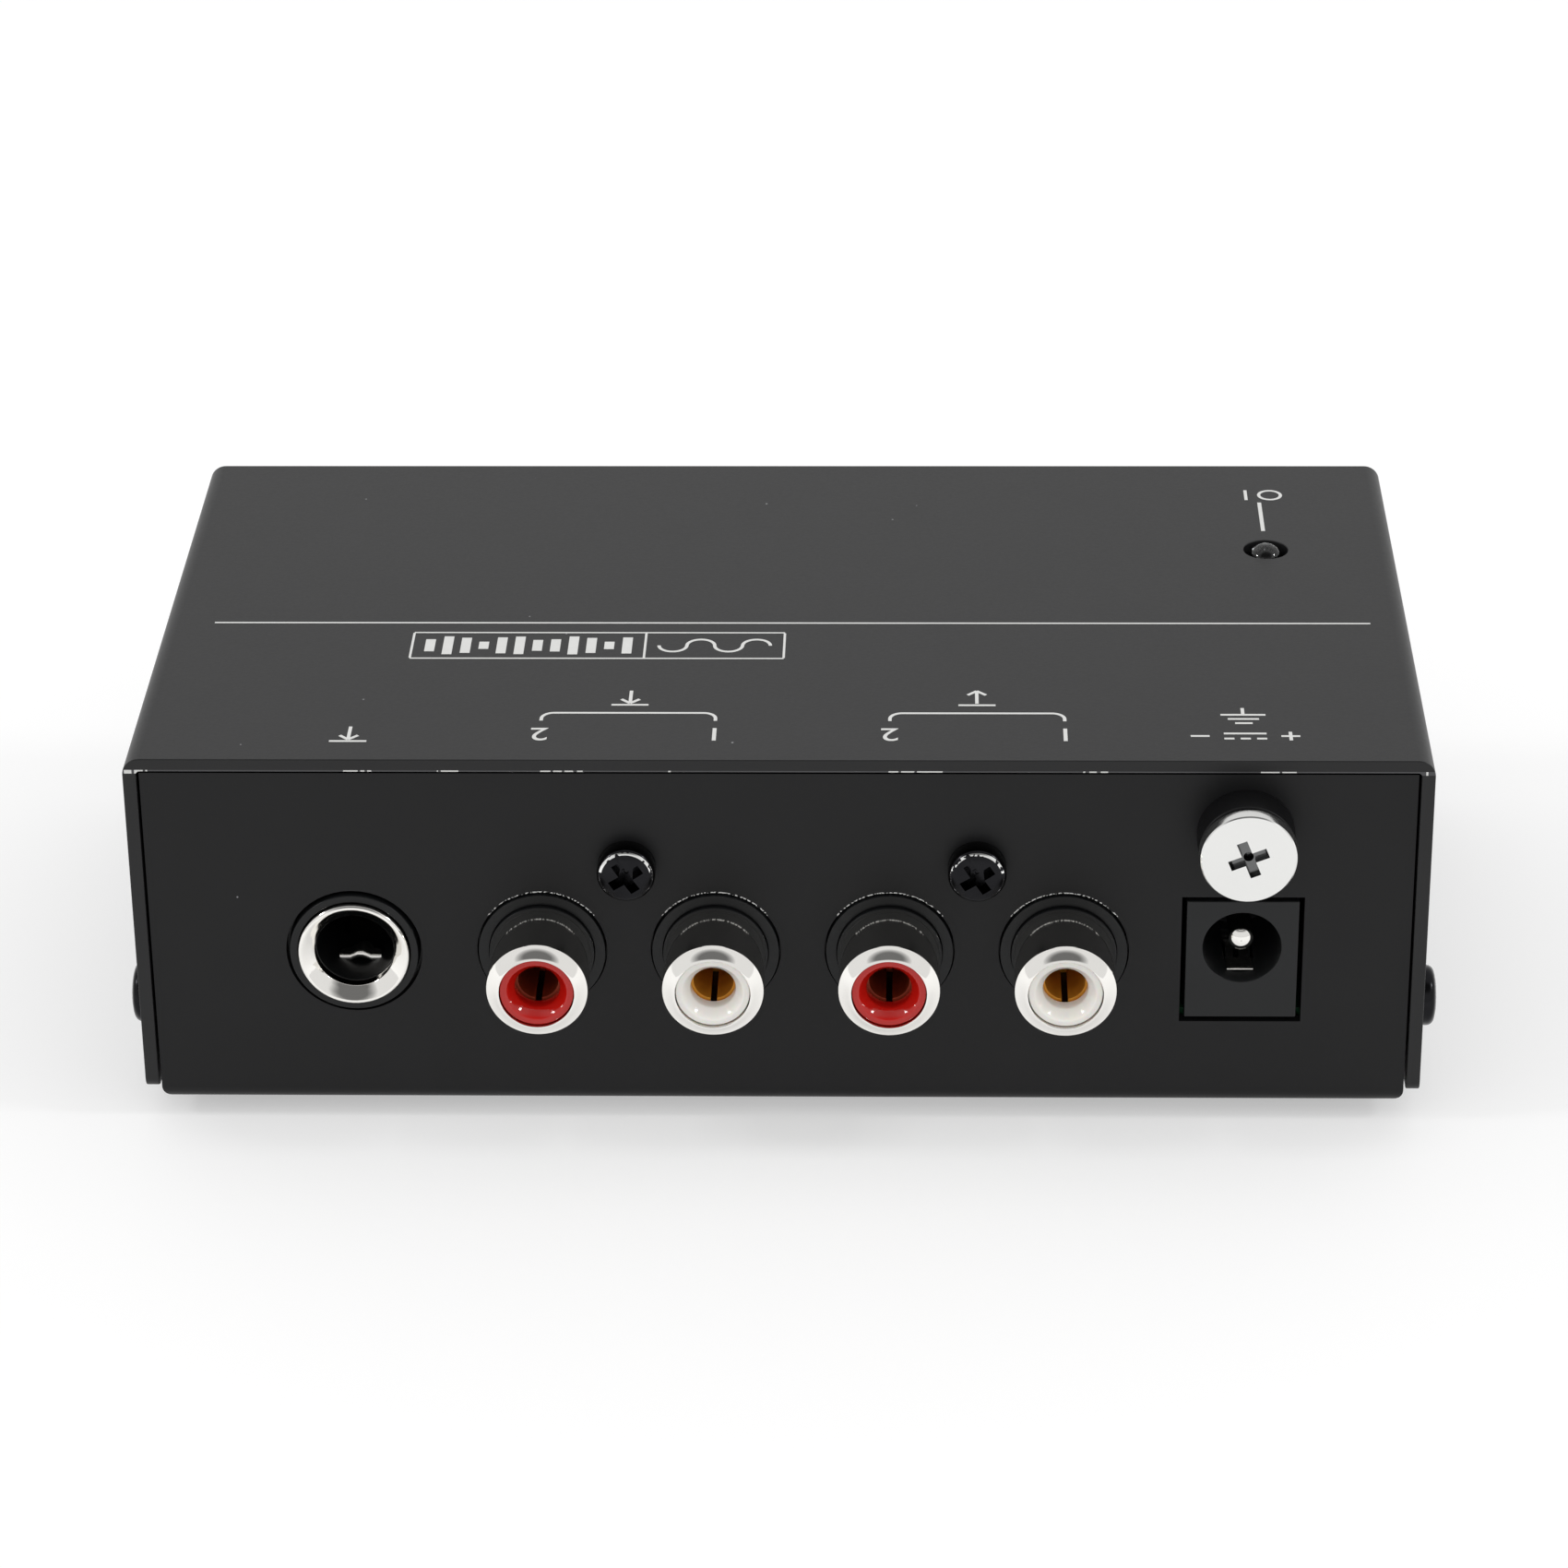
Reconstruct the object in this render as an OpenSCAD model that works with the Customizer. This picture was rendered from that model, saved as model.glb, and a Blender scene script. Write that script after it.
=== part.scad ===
// Compact phono preamp: a folded steel case with phono, phone and power sockets, an earth
// terminal, and the circuit board that carries them.
// X runs across the socket panel, the sockets look along -Y and Z is up, in millimetres.
// The origin lies on the surface that the feet stand on, in the middle of the whole outline.

/* [Case] */
// Width over the cover's side walls
case_w = 104; // [102:0.5:140]
// Depth from the cover's front edge to its rear edge
case_d = 58; // [57:0.5:90]
// Height from the chassis underside to the cover's top
case_h = 31.5; // [31:0.1:45]
// Steel thickness of the cover and the chassis
sheet_t = 1.1; // [0.8:0.1:1.3]
// Inner radius of every fold in the sheet
fold_r = 0.3; // [0.2:0.1:0.8]
// Gap between the cover and the chassis inside it
cover_gap = 0.2; // [0.1:0.05:0.4]
// How far both panels sit back from the cover's edges
panel_recess = 0.2; // [0:0.05:0.5]
// Height of the cover's lower edges above the chassis underside
cover_lift = 1.25; // [0.5:0.05:2]
// Rounding of the lower corners of the cover's sides
cover_corner_r = 1; // [0.4:0.1:2]
// Height of the chassis side flanges
flange_h = 9.5; // [8.8:0.1:14]
// Gap between each end of a flange and the panel beside it
flange_relief = 1.5; // [0.5:0.1:4]

/* [Case screws] */
// Thread diameter of the case screws
case_screw_d = 3; // [2:0.1:3.4]
// Head diameter of the case screws
case_screw_head_d = 5; // [4.5:0.1:7]
// Head height of the case screws
case_screw_head_h = 1.75; // [1.2:0.05:2.4]
// Length of the case screws under the head
case_screw_l = 4; // [3.6:0.1:4.8]
// Height of the case screws above the chassis underside
case_screw_h = 5.9; // [5.2:0.1:6.2]
// Distance of the case screws from the cover's front and rear edges
case_screw_inset = 8; // [6.5:0.5:14]
// Length of the threaded collars drawn inwards from the flanges
case_collar_l = 1; // [0.5:0.1:1.2]
// Wall of those collars
case_collar_wall = 0.7; // [0.4:0.1:1]
// Radial gap between a screw and its threaded hole
thread_gap = 0.05; // [0.02:0.01:0.1]
// Radial gap between a screw and a hole that it only passes through
screw_gap = 0.2; // [0.1:0.05:0.3]

/* [Feet] */
// Diameter of the stick-on feet
foot_d = 8; // [6:0.5:12]
// Height of the feet
foot_h = 1.5; // [1:0.1:2.5]
// Distance of the feet's centres from the case's sides and ends
foot_inset = 10; // [7:0.5:16]
// Bevel round the lower edge of the feet
foot_bevel = 0.4; // [0.1:0.1:0.9]

/* [Board] */
// Thickness of the circuit board
board_t = 1.6; // [1:0.1:2]
// Height of the board's underside above the base plate
board_lift = 5.5; // [5:0.1:6.5]
// Gap between the board and the chassis on the left and the right
board_side_gap = 4; // [3.7:0.1:5]
// Gap between the board and the socket panel
board_front_gap = 0.5; // [0.2:0.1:1]
// Gap between the board and the plain panel
board_rear_gap = 5; // [2:0.5:5.5]
// How far the solder legs reach out under the board
leg_out = 1.2; // [0.5:0.1:2]
// Radial gap between a leg and its hole in the board
leg_gap = 0.12; // [0.05:0.01:0.2]
// Distance of the two board pillars from the middle plane
pillar_x = 33; // [30:0.5:38]
// Distance of the pillars from the board's rear edge
pillar_inset = 4.5; // [4:0.1:5.5]
// Width across the flats of the hexagonal pillars
pillar_w = 5; // [4.5:0.1:6]
// Thread diameter of the board screws
board_screw_d = 2.5; // [2:0.1:3]
// Head diameter of the board screws
board_screw_head_d = 4.5; // [4:0.1:5.5]
// Head height of the board screws
board_screw_head_h = 1.6; // [1:0.1:2]
// Length of the board screws under the head
board_screw_l = 5; // [4:0.5:6]

/* [Phono sockets] */
// Distance from the middle plane to the first socket, on the left
rca_first_x = -19.1; // [-19.6:0.1:-18.6]
// Distance between neighbouring sockets
rca_pitch = 14; // [13.6:0.05:14.2]
// Height of the sockets' axes above the board
rca_axis_h = 6.05; // [6:0.05:7]
// How far the shells stand out of the panel
rca_reach = 7.3; // [6:0.1:10]
// Outer diameter of the shells
rca_shell_d = 8.1; // [7.9:0.1:8.4]
// Wall of the shells
rca_shell_t = 0.5; // [0.3:0.05:0.6]
// Diameter of the shells' thicker roots, inside the collars
rca_root_d = 8.45; // [8.42:0.01:8.7]
// How far the roots stand out of the panel
rca_root_out = 0.7; // [0.4:0.1:2]
// Width of the rolled rim, seen from the front
rca_rim_w = 1.05; // [0.8:0.05:1.1]
// Length of the rim: a straight part, a taper and a rounded lip
rca_rim_l = 1.5; // [1:0.1:2]
// Length of the rim's straight part, behind its taper
rca_rim_land = 0.25; // [0.2:0.05:0.4]
// Radius of the rim's rounded lip
rca_lip_r = 0.3; // [0.2:0.05:0.35]
// Diameter of the shells' foot flanges
rca_flange_d = 9.6; // [9.2:0.1:10]
// Thickness of the shells' foot flanges
rca_flange_t = 0.5; // [0.3:0.1:0.8]
// Depth of the insulators' faces behind the rims
rca_face_back = 0.25; // [0.1:0.05:0.8]
// Diameter of the funnel's mouth in the insulators
rca_funnel_d = 4.9; // [4.4:0.1:5.2]
// Depth of the funnel
rca_funnel_l = 0.9; // [0.5:0.1:1.4]
// Diameter of the insulators' pin holes
rca_pin_hole_d = 3.6; // [3.55:0.05:3.75]
// Depth of the contacts' ends behind the insulators' faces
rca_contact_back = 2; // [1.6:0.1:3]
// Bore of the split centre contacts
rca_contact_bore_d = 3.2; // [3.1:0.05:3.3]
// Wall of the centre contacts
rca_contact_t = 0.4; // [0.2:0.05:0.45]
// Width of the contacts' slits
rca_slit_w = 0.5; // [0.3:0.1:0.8]
// Length of the contacts' slits
rca_slit_l = 5; // [3:0.5:7]
// Radial gap between an insulator and its shell and contact
rca_fit_gap = 0.05; // [0.02:0.01:0.08]
// Length of the insulators behind the shells
rca_tail_l = 2; // [1.4:0.1:2.4]
// Thickness of the earth tabs
rca_tab_t = 0.5; // [0.3:0.1:0.7]
// Width of the earth tabs' legs
rca_tab_w = 1.8; // [1.2:0.1:2]

/* [Phono housings] */
// Diameter of the collars that fill the panel's holes
rca_collar_d = 10.2; // [9.8:0.1:10.6]
// Radial gap between a collar and its hole in the panel
rca_collar_gap = 0.15; // [0.1:0.05:0.3]
// How far the collars stand proud of the panel
rca_collar_out = 0.3; // [0.1:0.1:0.8]
// Gap between the two twin housings
rca_block_gap = 0.6; // [0.4:0.1:1]
// Depth of the twin housings behind the panel
rca_block_d = 9.5; // [9:0.1:11]
// Wall of the twin housings
rca_block_wall = 1.3; // [1:0.1:1.5]
// Front wall of the twin housings
rca_block_front = 2.5; // [2:0.1:3]
// Height of the twin housings above the sockets' axes
rca_block_rise = 6.2; // [6.1:0.1:7]
// Height of the panel screws above the sockets' axes
rca_screw_rise = 7.6; // [7:0.1:8]
// Thread diameter of the panel screws
rca_screw_d = 2.9; // [2.2:0.1:3]
// Length of the panel screws under the head
rca_screw_l = 7; // [5:0.5:9]
// Head diameter of the panel screws
rca_screw_head_d = 4.7; // [4.5:0.1:6]
// Head height of the panel screws
rca_screw_head_h = 2; // [1.4:0.05:2.4]
// Width of the screw ears on the housings
rca_ear_w = 7.5; // [6:0.1:9]
// Diameter of the pegs that place the housings on the board
rca_peg_d = 1.6; // [1:0.1:2]

/* [Phone jack] */
// Distance from the middle plane to the jack's axis
jack_x = -34.3; // [-35:0.1:-34.2]
// Height of the jack's axis above the board
jack_axis_h = 5.9; // [5.9:0.05:7]
// Bore of the jack, for a 6.35 mm plug
jack_bore_d = 6.4; // [6.36:0.02:6.5]
// Outer diameter of the plated ferrule
jack_ferrule_d = 9; // [8.6:0.1:9.4]
// Mouth diameter of the ferrule's funnel
jack_mouth_d = 8.4; // [7.4:0.1:8.5]
// Depth of the ferrule's funnel
jack_mouth_l = 0.85; // [0.6:0.05:2]
// How far the ferrule stands proud of the panel
jack_ferrule_out = 0.8; // [0.3:0.05:3]
// Depth of the ferrule behind the panel's face
jack_ferrule_back = 8; // [6:0.5:9]
// Outer diameter of the black bushing round the ferrule
jack_bushing_d = 10.4; // [10:0.1:11]
// How far the bushing stands proud of the panel
jack_bushing_out = 0.3; // [0.1:0.05:2]
// Radial gap between the bushing and its hole in the panel
jack_hole_gap = 0.3; // [0.1:0.05:0.5]
// Width of the jack's housing
jack_body_w = 15; // [13:0.1:15.2]
// Depth of the jack's housing behind the panel
jack_body_d = 23; // [22.5:0.1:24]
// Height of the jack's housing above its axis
jack_body_rise = 6.4; // [6:0.1:8]
// Diameter of the chamber behind the ferrule
jack_chamber_d = 7.4; // [7:0.1:8]
// Length of that chamber
jack_chamber_l = 12; // [11:0.5:12.5]
// Width of the contact springs
jack_spring_w = 3.2; // [2:0.1:4]
// Thickness of the contact springs
jack_spring_t = 0.35; // [0.2:0.05:0.5]
// Gap over the contact springs, outside the chamber
jack_spring_clear = 0.9; // [0.6:0.05:1]
// Distance of the springs' humps from the axis
jack_hump_r = 2.6; // [2.5:0.1:3]
// Depth of the tip spring's hump behind the panel's face
jack_tip_hump = 12; // [11.5:0.5:13]
// Depth of the ring spring's hump behind the panel's face
jack_ring_hump = 15; // [14:0.5:16]
// Distance of the springs' legs from the ends of the chamber and the housing
jack_leg_inset = 1.2; // [1:0.1:1.6]
// Width of the jack's legs
jack_tab_w = 2; // [1.4:0.1:2.4]

/* [Power socket] */
// Distance from the middle plane to the power socket and the earth terminal
power_x = 37.2; // [36.6:0.1:38.5]
// Height of the power socket's axis above the board
dc_axis_h = 6.4; // [6:0.1:7]
// Width of the power socket
dc_w = 9; // [8.6:0.1:9.4]
// Height of the power socket above its axis
dc_rise = 4.2; // [4.2:0.1:4.8]
// Depth of the power socket
dc_d = 14.4; // [14:0.1:15]
// Depth of its full-size front
dc_front_d = 3.5; // [2:0.1:5]
// Gap round the socket in the panel's cut-out
dc_cut_gap = 0.4; // [0.1:0.05:0.4]
// Diameter of the plug hole
dc_bore_d = 6.3; // [5.5:0.1:6.4]
// Depth of the plug hole
dc_bore_l = 10; // [9:0.1:11]
// Diameter of the centre pin
dc_pin_d = 2; // [1.65:0.05:2.5]
// Depth of the pin's tip behind the socket's face
dc_pin_back = 1.55; // [0.5:0.05:3]
// Width of the sleeve spring
dc_spring_w = 2; // [1.4:0.1:2.4]
// Thickness of the socket's contacts
dc_leaf_t = 0.35; // [0.2:0.05:0.5]
// Distance of the sleeve spring's hump from the axis
dc_hump_r = 2.75; // [2.7:0.05:3]
// Gap over the sleeve spring, outside the plug hole
dc_spring_clear = 0.7; // [0.5:0.05:0.9]
// Distance of the sleeve spring's leg from the end of the plug hole
dc_leg_inset = 1.6; // [1.2:0.1:2]

/* [Earth terminal] */
// Height of the earth terminal over the middle of the space between power socket and cover
earth_rise = 0.35; // [-0.3:0.05:0.5]
// Diameter of the black post
earth_post_d = 7.8; // [7:0.1:8.4]
// Length of the post in front of the panel
earth_post_l = 3; // [2:0.1:6]
// Diameter of the post's shank in the panel
earth_shank_d = 6; // [5.4:0.1:6.6]
// How far the shank is spread behind the panel
earth_spread = 0.4; // [0.2:0.1:0.8]
// Thread diameter of the earth screw
earth_screw_d = 4; // [3:0.1:4.2]
// Length of the earth screw under the head
earth_screw_l = 8; // [7.5:0.5:10]
// Head diameter of the earth screw
earth_head_d = 7.9; // [7:0.1:9]
// Head thickness of the earth screw
earth_head_t = 0.95; // [0.7:0.05:2]
// Diameter of the captive washer
earth_washer_d = 7; // [6:0.1:7.6]
// Thickness of the captive washer
earth_washer_t = 0.5; // [0.3:0.1:1]
// Radial gap between the washer and the screw
earth_washer_gap = 0.1; // [0.05:0.01:0.1]
// Turn of the cross in the head, seen from the front
earth_cross_turn = 24; // [0:1:89]
// Size of the head that the cross is made for, as a share of this wide head
earth_cross_share = 0.72; // [0.5:0.01:0.9]
// Bevel round the head's front edge
earth_head_bevel = 0.15; // [0.1:0.05:0.3]
// Depth of the cross in the head
earth_cross_depth = 1.3; // [0.6:0.1:2]

/* [Cross recesses] */
// Span of a recess as a share of its head's diameter
cross_span = 0.6; // [0.4:0.05:0.7]
// Width of a recess's arms as a share of its head's diameter
cross_arm = 0.17; // [0.1:0.01:0.25]
// Turn of the crosses in the panel screws
panel_cross_turn = 33; // [0:1:89]
// Depth of a recess as a share of its head's height
cross_depth = 0.7; // [0.4:0.05:0.8]
// Rounding of a pan head's edge as a share of the head's height
pan_round = 0.3; // [0.2:0.05:0.8]

/* [Power light] */
// Distance from the middle plane to the light
led_x = 40.9; // [40.5:0.1:41.6]
// Distance of the light from the panel's face
led_row = 39.95; // [39.4:0.05:46]
// Diameter of the light's hole in the cover
led_hole_d = 3.8; // [3.4:0.1:4.2]
// Diameter of the light's dome
led_d = 3; // [2.8:0.1:3.2]
// How far the dome stands above the cover
led_out = 0.5; // [0:0.1:1.4]
// Length of the light from its rim to the top of its dome
led_l = 5.3; // [4:0.1:6]
// Diameter of the light's rim
led_rim_d = 3.8; // [3.4:0.1:4]
// Thickness of the light's rim
led_rim_t = 1; // [0.6:0.1:1.4]
// Diameter of the sleeve that holds the light over the board
led_sleeve_d = 4.6; // [4.2:0.1:5]
// Distance between the light's legs
led_pitch = 2.54; // [2:0.01:2.6]

/* [Parts on the board] */
// Diameter of the wire legs
wire_d = 0.6; // [0.4:0.05:0.8]
// Gap between a lying part and the board
part_lift = 0.1; // [0.05:0.05:0.3]
// Distance of the first row of resistors from the panel's face
resistor_row = 14.2; // [13.5:0.1:14.5]
// Distance between the rows of resistors
resistor_step = 3.2; // [3:0.1:3.4]
// Length of a resistor's body
resistor_l = 6.2; // [5:0.1:6.6]
// Diameter of a resistor's body
resistor_d = 2.3; // [1.8:0.1:2.5]
// Distance between a resistor's legs
resistor_span = 9; // [8.4:0.1:9.4]
// Distance of each column of parts from its channel's middle
column_x = 5.5; // [5.3:0.1:5.8]
// Distance of the amplifier chips from the panel's face
chip_row = 27.5; // [27.2:0.1:28]
// Length of an amplifier chip
chip_l = 9.3; // [9:0.1:9.6]
// Width of an amplifier chip
chip_w = 6.3; // [6:0.1:6.6]
// Thickness of an amplifier chip
chip_t = 3.3; // [2.6:0.1:3.6]
// Gap between an amplifier chip and the board
chip_lift = 0.5; // [0.3:0.1:1]
// Number of legs along each side of a chip
chip_legs_a_side = 4; // [3:1:4]
// Distance between neighbouring legs of a chip
chip_pitch = 2.54; // [2:0.01:2.6]
// Distance between the chip's two rows of legs
chip_span = 7.62; // [7.4:0.01:7.8]
// Distance of the first row of film capacitors from the panel's face
film_row = 36; // [35.6:0.1:36.4]
// Distance between the rows of film capacitors
film_step = 5; // [4.5:0.1:5.2]
// Length of a film capacitor
film_l = 7.2; // [6.5:0.1:7.8]
// Thickness of a film capacitor
film_t = 3.5; // [2.5:0.1:4]
// Height of a film capacitor
film_h = 7; // [5:0.5:9]
// Distance between a film capacitor's legs
film_pitch = 5; // [4.5:0.1:5.5]
// Size of the crimped groove round a capacitor's can, as a share of the can's diameter
can_groove = 0.06; // [0.04:0.01:0.08]
// Diameter of the coupling capacitors
coupling_d = 5; // [4:0.1:5.4]
// Height of the coupling capacitors
coupling_l = 11; // [7:0.5:12]
// Distance of the coupling capacitors from the channel's middle
coupling_x = 9; // [8.6:0.1:9.4]
// Diameter of the output and supply capacitors
reservoir_d = 6.3; // [5:0.1:7]
// Height of the output and supply capacitors
reservoir_l = 11.5; // [8:0.5:14]
// Distance of the output and supply capacitors from the panel's face
reservoir_row = 31; // [30:0.5:32]
// Distance between two neighbouring output or supply capacitors
reservoir_step = 9; // [8:0.1:9.4]
// Diameter of the supply choke
choke_d = 7.6; // [6:0.1:8]
// Height of the supply choke
choke_l = 9; // [6:0.5:11]
// Diameter of the choke's coil
choke_coil_d = 6.1; // [5:0.1:7]
// Thickness of the choke's end flanges
choke_flange_t = 1.3; // [0.8:0.1:1.8]
// Distance of the supply choke from the panel's face
choke_row = 19.6; // [19.4:0.1:20.2]
// Distance of the supply diode from the panel's face
diode_row = 25.6; // [25.2:0.1:26]
// Length of the supply diode's body
diode_l = 5.2; // [4:0.1:6]
// Diameter of the supply diode's body
diode_d = 2.7; // [2:0.1:2.8]
// Diameter of the voltage regulator
regulator_d = 4.8; // [4.4:0.1:5]
// Height of the voltage regulator
regulator_l = 4.6; // [4:0.1:5]
// Distance between the regulator's legs
regulator_pitch = 1.8; // [1.3:0.1:2]
// Height of the voltage regulator above the board
regulator_lift = 3; // [2:0.5:5]
// Distance of the regulator from the panel's face
regulator_row = 39; // [38:0.5:40]

/* [Hidden] */
$fn = 64;

POWDER_BLACK = "#2b2b2c";
PLASTIC_BLACK = "#1a1a1b";
SCREW_BLACK = "#202021";
NICKEL = "#c9c9c6";
BRASS = "#b08a3a";
SIGNAL_RED = "#b3201c";
SIGNAL_WHITE = "#ecebe6";
BOARD_GREEN = "#1f5c36";
TIN = "#b9bcbe";
RUBBER_BLACK = "#151515";
LAMP_CLEAR = "#d9dde0";
CAPACITOR_RED = "#a8332b";
SLEEVE_BLUE = "#23324a";
LACQUER_TAN = "#b9a27a";
FERRITE_GREY = "#2e2c2b";

// A hair's depth by which a cut passes a face, and by which joined shapes share their volume
over = 0.5;
// Corners of a hexagon
hex_n = 6;
// How far the colour of the clear light covers what lies behind it
lamp_alpha = 0.8;

// The chassis inside the cover
chassis_w = case_w - 2 * (sheet_t + cover_gap);
chassis_d = case_d - 2 * panel_recess;
chassis_h = case_h - sheet_t - cover_gap;
flange_l = chassis_d - 2 * (sheet_t + flange_relief);

// Planes: the chassis underside, the case's middle and the outer face of the socket panel
base_z = foot_h;
case_y = (rca_reach - panel_recess) / 2;
panel_y = case_y - chassis_d / 2;

// The board, with heights above the chassis underside and depths behind the panel's face
board_top_h = sheet_t + board_lift + board_t;
board_w = chassis_w - 2 * (sheet_t + board_side_gap);
board_front = sheet_t + board_front_gap;
board_rear = chassis_d - sheet_t - board_rear_gap;
pillar_row = board_rear - pillar_inset;
led_rim_h = case_h + led_out - led_l - board_top_h;

// Heights of the sockets' axes above the chassis underside
rca_h = board_top_h + rca_axis_h;
jack_h = board_top_h + jack_axis_h;
dc_h = board_top_h + dc_axis_h;

// The four phono sockets from left to right, and the middles of the two twin housings
output_right_x = rca_first_x;
output_left_x = rca_first_x + rca_pitch;
input_right_x = rca_first_x + 2 * rca_pitch;
input_left_x = rca_first_x + 3 * rca_pitch;
rca_output_x = (output_right_x + output_left_x) / 2;
rca_input_x = (input_right_x + input_left_x) / 2;
rca_block_w = 2 * rca_pitch - rca_block_gap;

// Places along a phono socket's axis, measured outwards from the panel's face
rca_seat = -sheet_t - rca_block_front;
rca_shell_back = rca_seat - rca_flange_t;
rca_tab_back = rca_shell_back - rca_tab_t;
rca_tail = rca_shell_back - rca_tail_l;
rca_face = rca_reach - rca_face_back;
rca_contact_face = rca_face - rca_contact_back;
rca_peg_z = rca_seat - rca_block_wall;
rca_contact_d = rca_contact_bore_d + 2 * rca_contact_t;
rca_core_d = rca_shell_d - 2 * rca_shell_t - 2 * rca_fit_gap;
rca_tail_d = rca_core_d - 2 * rca_shell_t;
rca_leg_w = 1.2;
rca_leg_t = 0.5;

// Places along the phone jack's axis, measured outwards from the panel's face
jack_back = -sheet_t - jack_body_d;
jack_chamber_back = -jack_ferrule_back - jack_chamber_l;
jack_slot_w = jack_spring_w + 2 * screw_gap;
jack_tip_leg_z = jack_chamber_back + jack_leg_inset;
jack_ring_leg_z = jack_back + jack_leg_inset;
jack_spring_r = jack_chamber_d / 2 + jack_spring_clear;

// Places in the power socket
dc_pin_leg_z = -dc_d - dc_leaf_t;
dc_spring_leg_z = -dc_bore_l + dc_leg_inset;
dc_spring_r = dc_bore_d / 2 + dc_spring_clear;

// Shape of the contact springs' humps, as shares of the hump's height
leaf_ramp = 2.2;
leaf_crest = 0.25;
leaf_tail = 1.2;

// The earth terminal
earth_h = (dc_h + dc_rise + case_h - sheet_t) / 2 + earth_rise;
earth_washer_z = earth_post_l;
earth_head_z = earth_washer_z + earth_washer_t;

// Middles of the two channels' parts
left_channel_x = rca_output_x;
right_channel_x = rca_input_x;

// ---------- Frames of reference ----------

// A point on the socket panel's outer face, with Z pointing out of the panel and Y upwards.
module on_panel(x, h) {
    translate([x, panel_y, base_z + h]) rotate([90, 0, 0]) children();
}

// A point on the board's upper face, at a depth behind the socket panel's outer face.
module on_board(x, depth) {
    translate([x, panel_y + depth, base_z + board_top_h]) children();
}

// The four case screws' places, with Z pointing out of the case's side.
module at_case_screws() {
    for (side = [-1, 1], end = [-1, 1])
        translate([side * case_w / 2, case_y + end * (case_d / 2 - case_screw_inset), base_z + case_screw_h])
            rotate([0, side * 90, 0]) children();
}

// The two board pillars' places on the base plate's underside.
module at_pillars() {
    for (side = [-1, 1]) translate([side * pillar_x, panel_y + pillar_row, base_z]) children();
}

// ---------- Shapes that repeat ----------

// Upright rectangle on its lower edge, centred, with its two lower corners rounded.
module rounded_foot(w, h, r) {
    translate([-w / 2, r]) square([w, h - r]);
    translate([r - w / 2, 0]) square([w - 2 * r, h]);
    for (side = [-1, 1]) translate([side * (w / 2 - r), r]) circle(r);
}

// Section of a sheet folded twice into a channel that opens upwards.
module channel_section(w, h) {
    difference() {
        rounded_foot(w, h, fold_r + sheet_t);
        translate([0, sheet_t]) rounded_foot(w - 2 * sheet_t, h, fold_r);
    }
}

// Extrudes a section drawn in Y and Z along X, centred on the case.
module along_x(l) {
    translate([0, case_y, base_z]) rotate([90, 0, 90]) linear_extrude(l, center = true) children();
}

// Extrudes a section drawn in X and Z along Y, centred on the case.
module along_y(l) {
    translate([0, case_y, base_z]) rotate([90, 0, 0]) linear_extrude(l, center = true) children();
}

// Extrudes an outline drawn in a socket's depth and height across its width.
module across(w) {
    rotate([0, -90, 0]) linear_extrude(w, center = true) children();
}

// Half section of a pan head that stands on its lower edge.
module pan_section(r, h) {
    edge = h * pan_round;
    square([r, h - edge]);
    square([r - edge, h]);
    translate([r - edge, h - edge]) intersection() {
        circle(edge);
        square(edge);
    }
}

// Cross recess that is cut down from z = 0.
module cross_recess(head_d, depth) {
    span = head_d * cross_span;
    arm = head_d * cross_arm;
    for (turn = [0, 90]) rotate(turn)
        translate([-span / 2, -arm / 2, -depth]) cube([span, arm, depth + over]);
}

// Pan-head cross screw: the head stands on z = 0 and the shank reaches down.
module pan_screw(d, l, head_d, head_h) {
    difference() {
        union() {
            rotate_extrude() pan_section(head_d / 2, head_h);
            translate([0, 0, -l]) cylinder(d = d, h = l + head_h / 2);
        }
        translate([0, 0, head_h]) cross_recess(head_d, head_h * cross_depth);
    }
}

// Flat leg of a socket: it hangs from a height below the axis and goes through the board.
module socket_leg(axis_h, top, w, t, z) {
    foot = -axis_h - board_t - leg_out;
    translate([-w / 2, foot, z]) cube([w, top - foot, t]);
}

// The board's hole for that leg.
module socket_leg_hole(axis_h, w, t, z) {
    translate([0, over - axis_h, z + t / 2]) rotate([90, 0, 0])
        cylinder(d = norm([w, t]) + 2 * leg_gap, h = board_t + 2 * over);
}

// Round leg through the board, up to a height over it; a larger d makes the board's hole.
module straight_leg(d, top) {
    translate([0, 0, -board_t - leg_out]) cylinder(d = d, h = board_t + leg_out + top);
}

// Two such legs of a part that stands on the board.
module leg_pair(pitch, d) {
    for (side = [-1, 1]) translate([side * pitch / 2, 0, 0]) straight_leg(d, over);
}

// ---------- Case ----------

module top_cover() {
    color(POWDER_BLACK)
    difference() {
        intersection() {
            along_y(case_d) translate([0, case_h]) mirror([0, 1])
                channel_section(case_w, case_h - cover_lift);
            along_x(case_w) translate([0, cover_lift]) rounded_foot(case_d, case_h, cover_corner_r);
        }
        at_case_screws() translate([0, 0, -sheet_t - cover_gap / 2])
            cylinder(d = case_screw_d + 2 * screw_gap, h = sheet_t + over);
        on_board(led_x, led_row) translate([0, 0, case_h - board_top_h - sheet_t - over])
            cylinder(d = led_hole_d, h = sheet_t + 2 * over);
    }
}

// The base, both panels and the side flanges, before any hole is cut.
module chassis_sheet() {
    intersection() {
        along_x(chassis_w) channel_section(chassis_d, chassis_h);
        along_y(chassis_d) rounded_foot(chassis_w, chassis_h, fold_r + sheet_t);
    }
    along_y(flange_l) channel_section(chassis_w, flange_h);
}

// A round hole through the socket panel.
module panel_hole(d) {
    translate([0, 0, -sheet_t - over]) cylinder(d = d, h = sheet_t + 2 * over);
}

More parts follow.
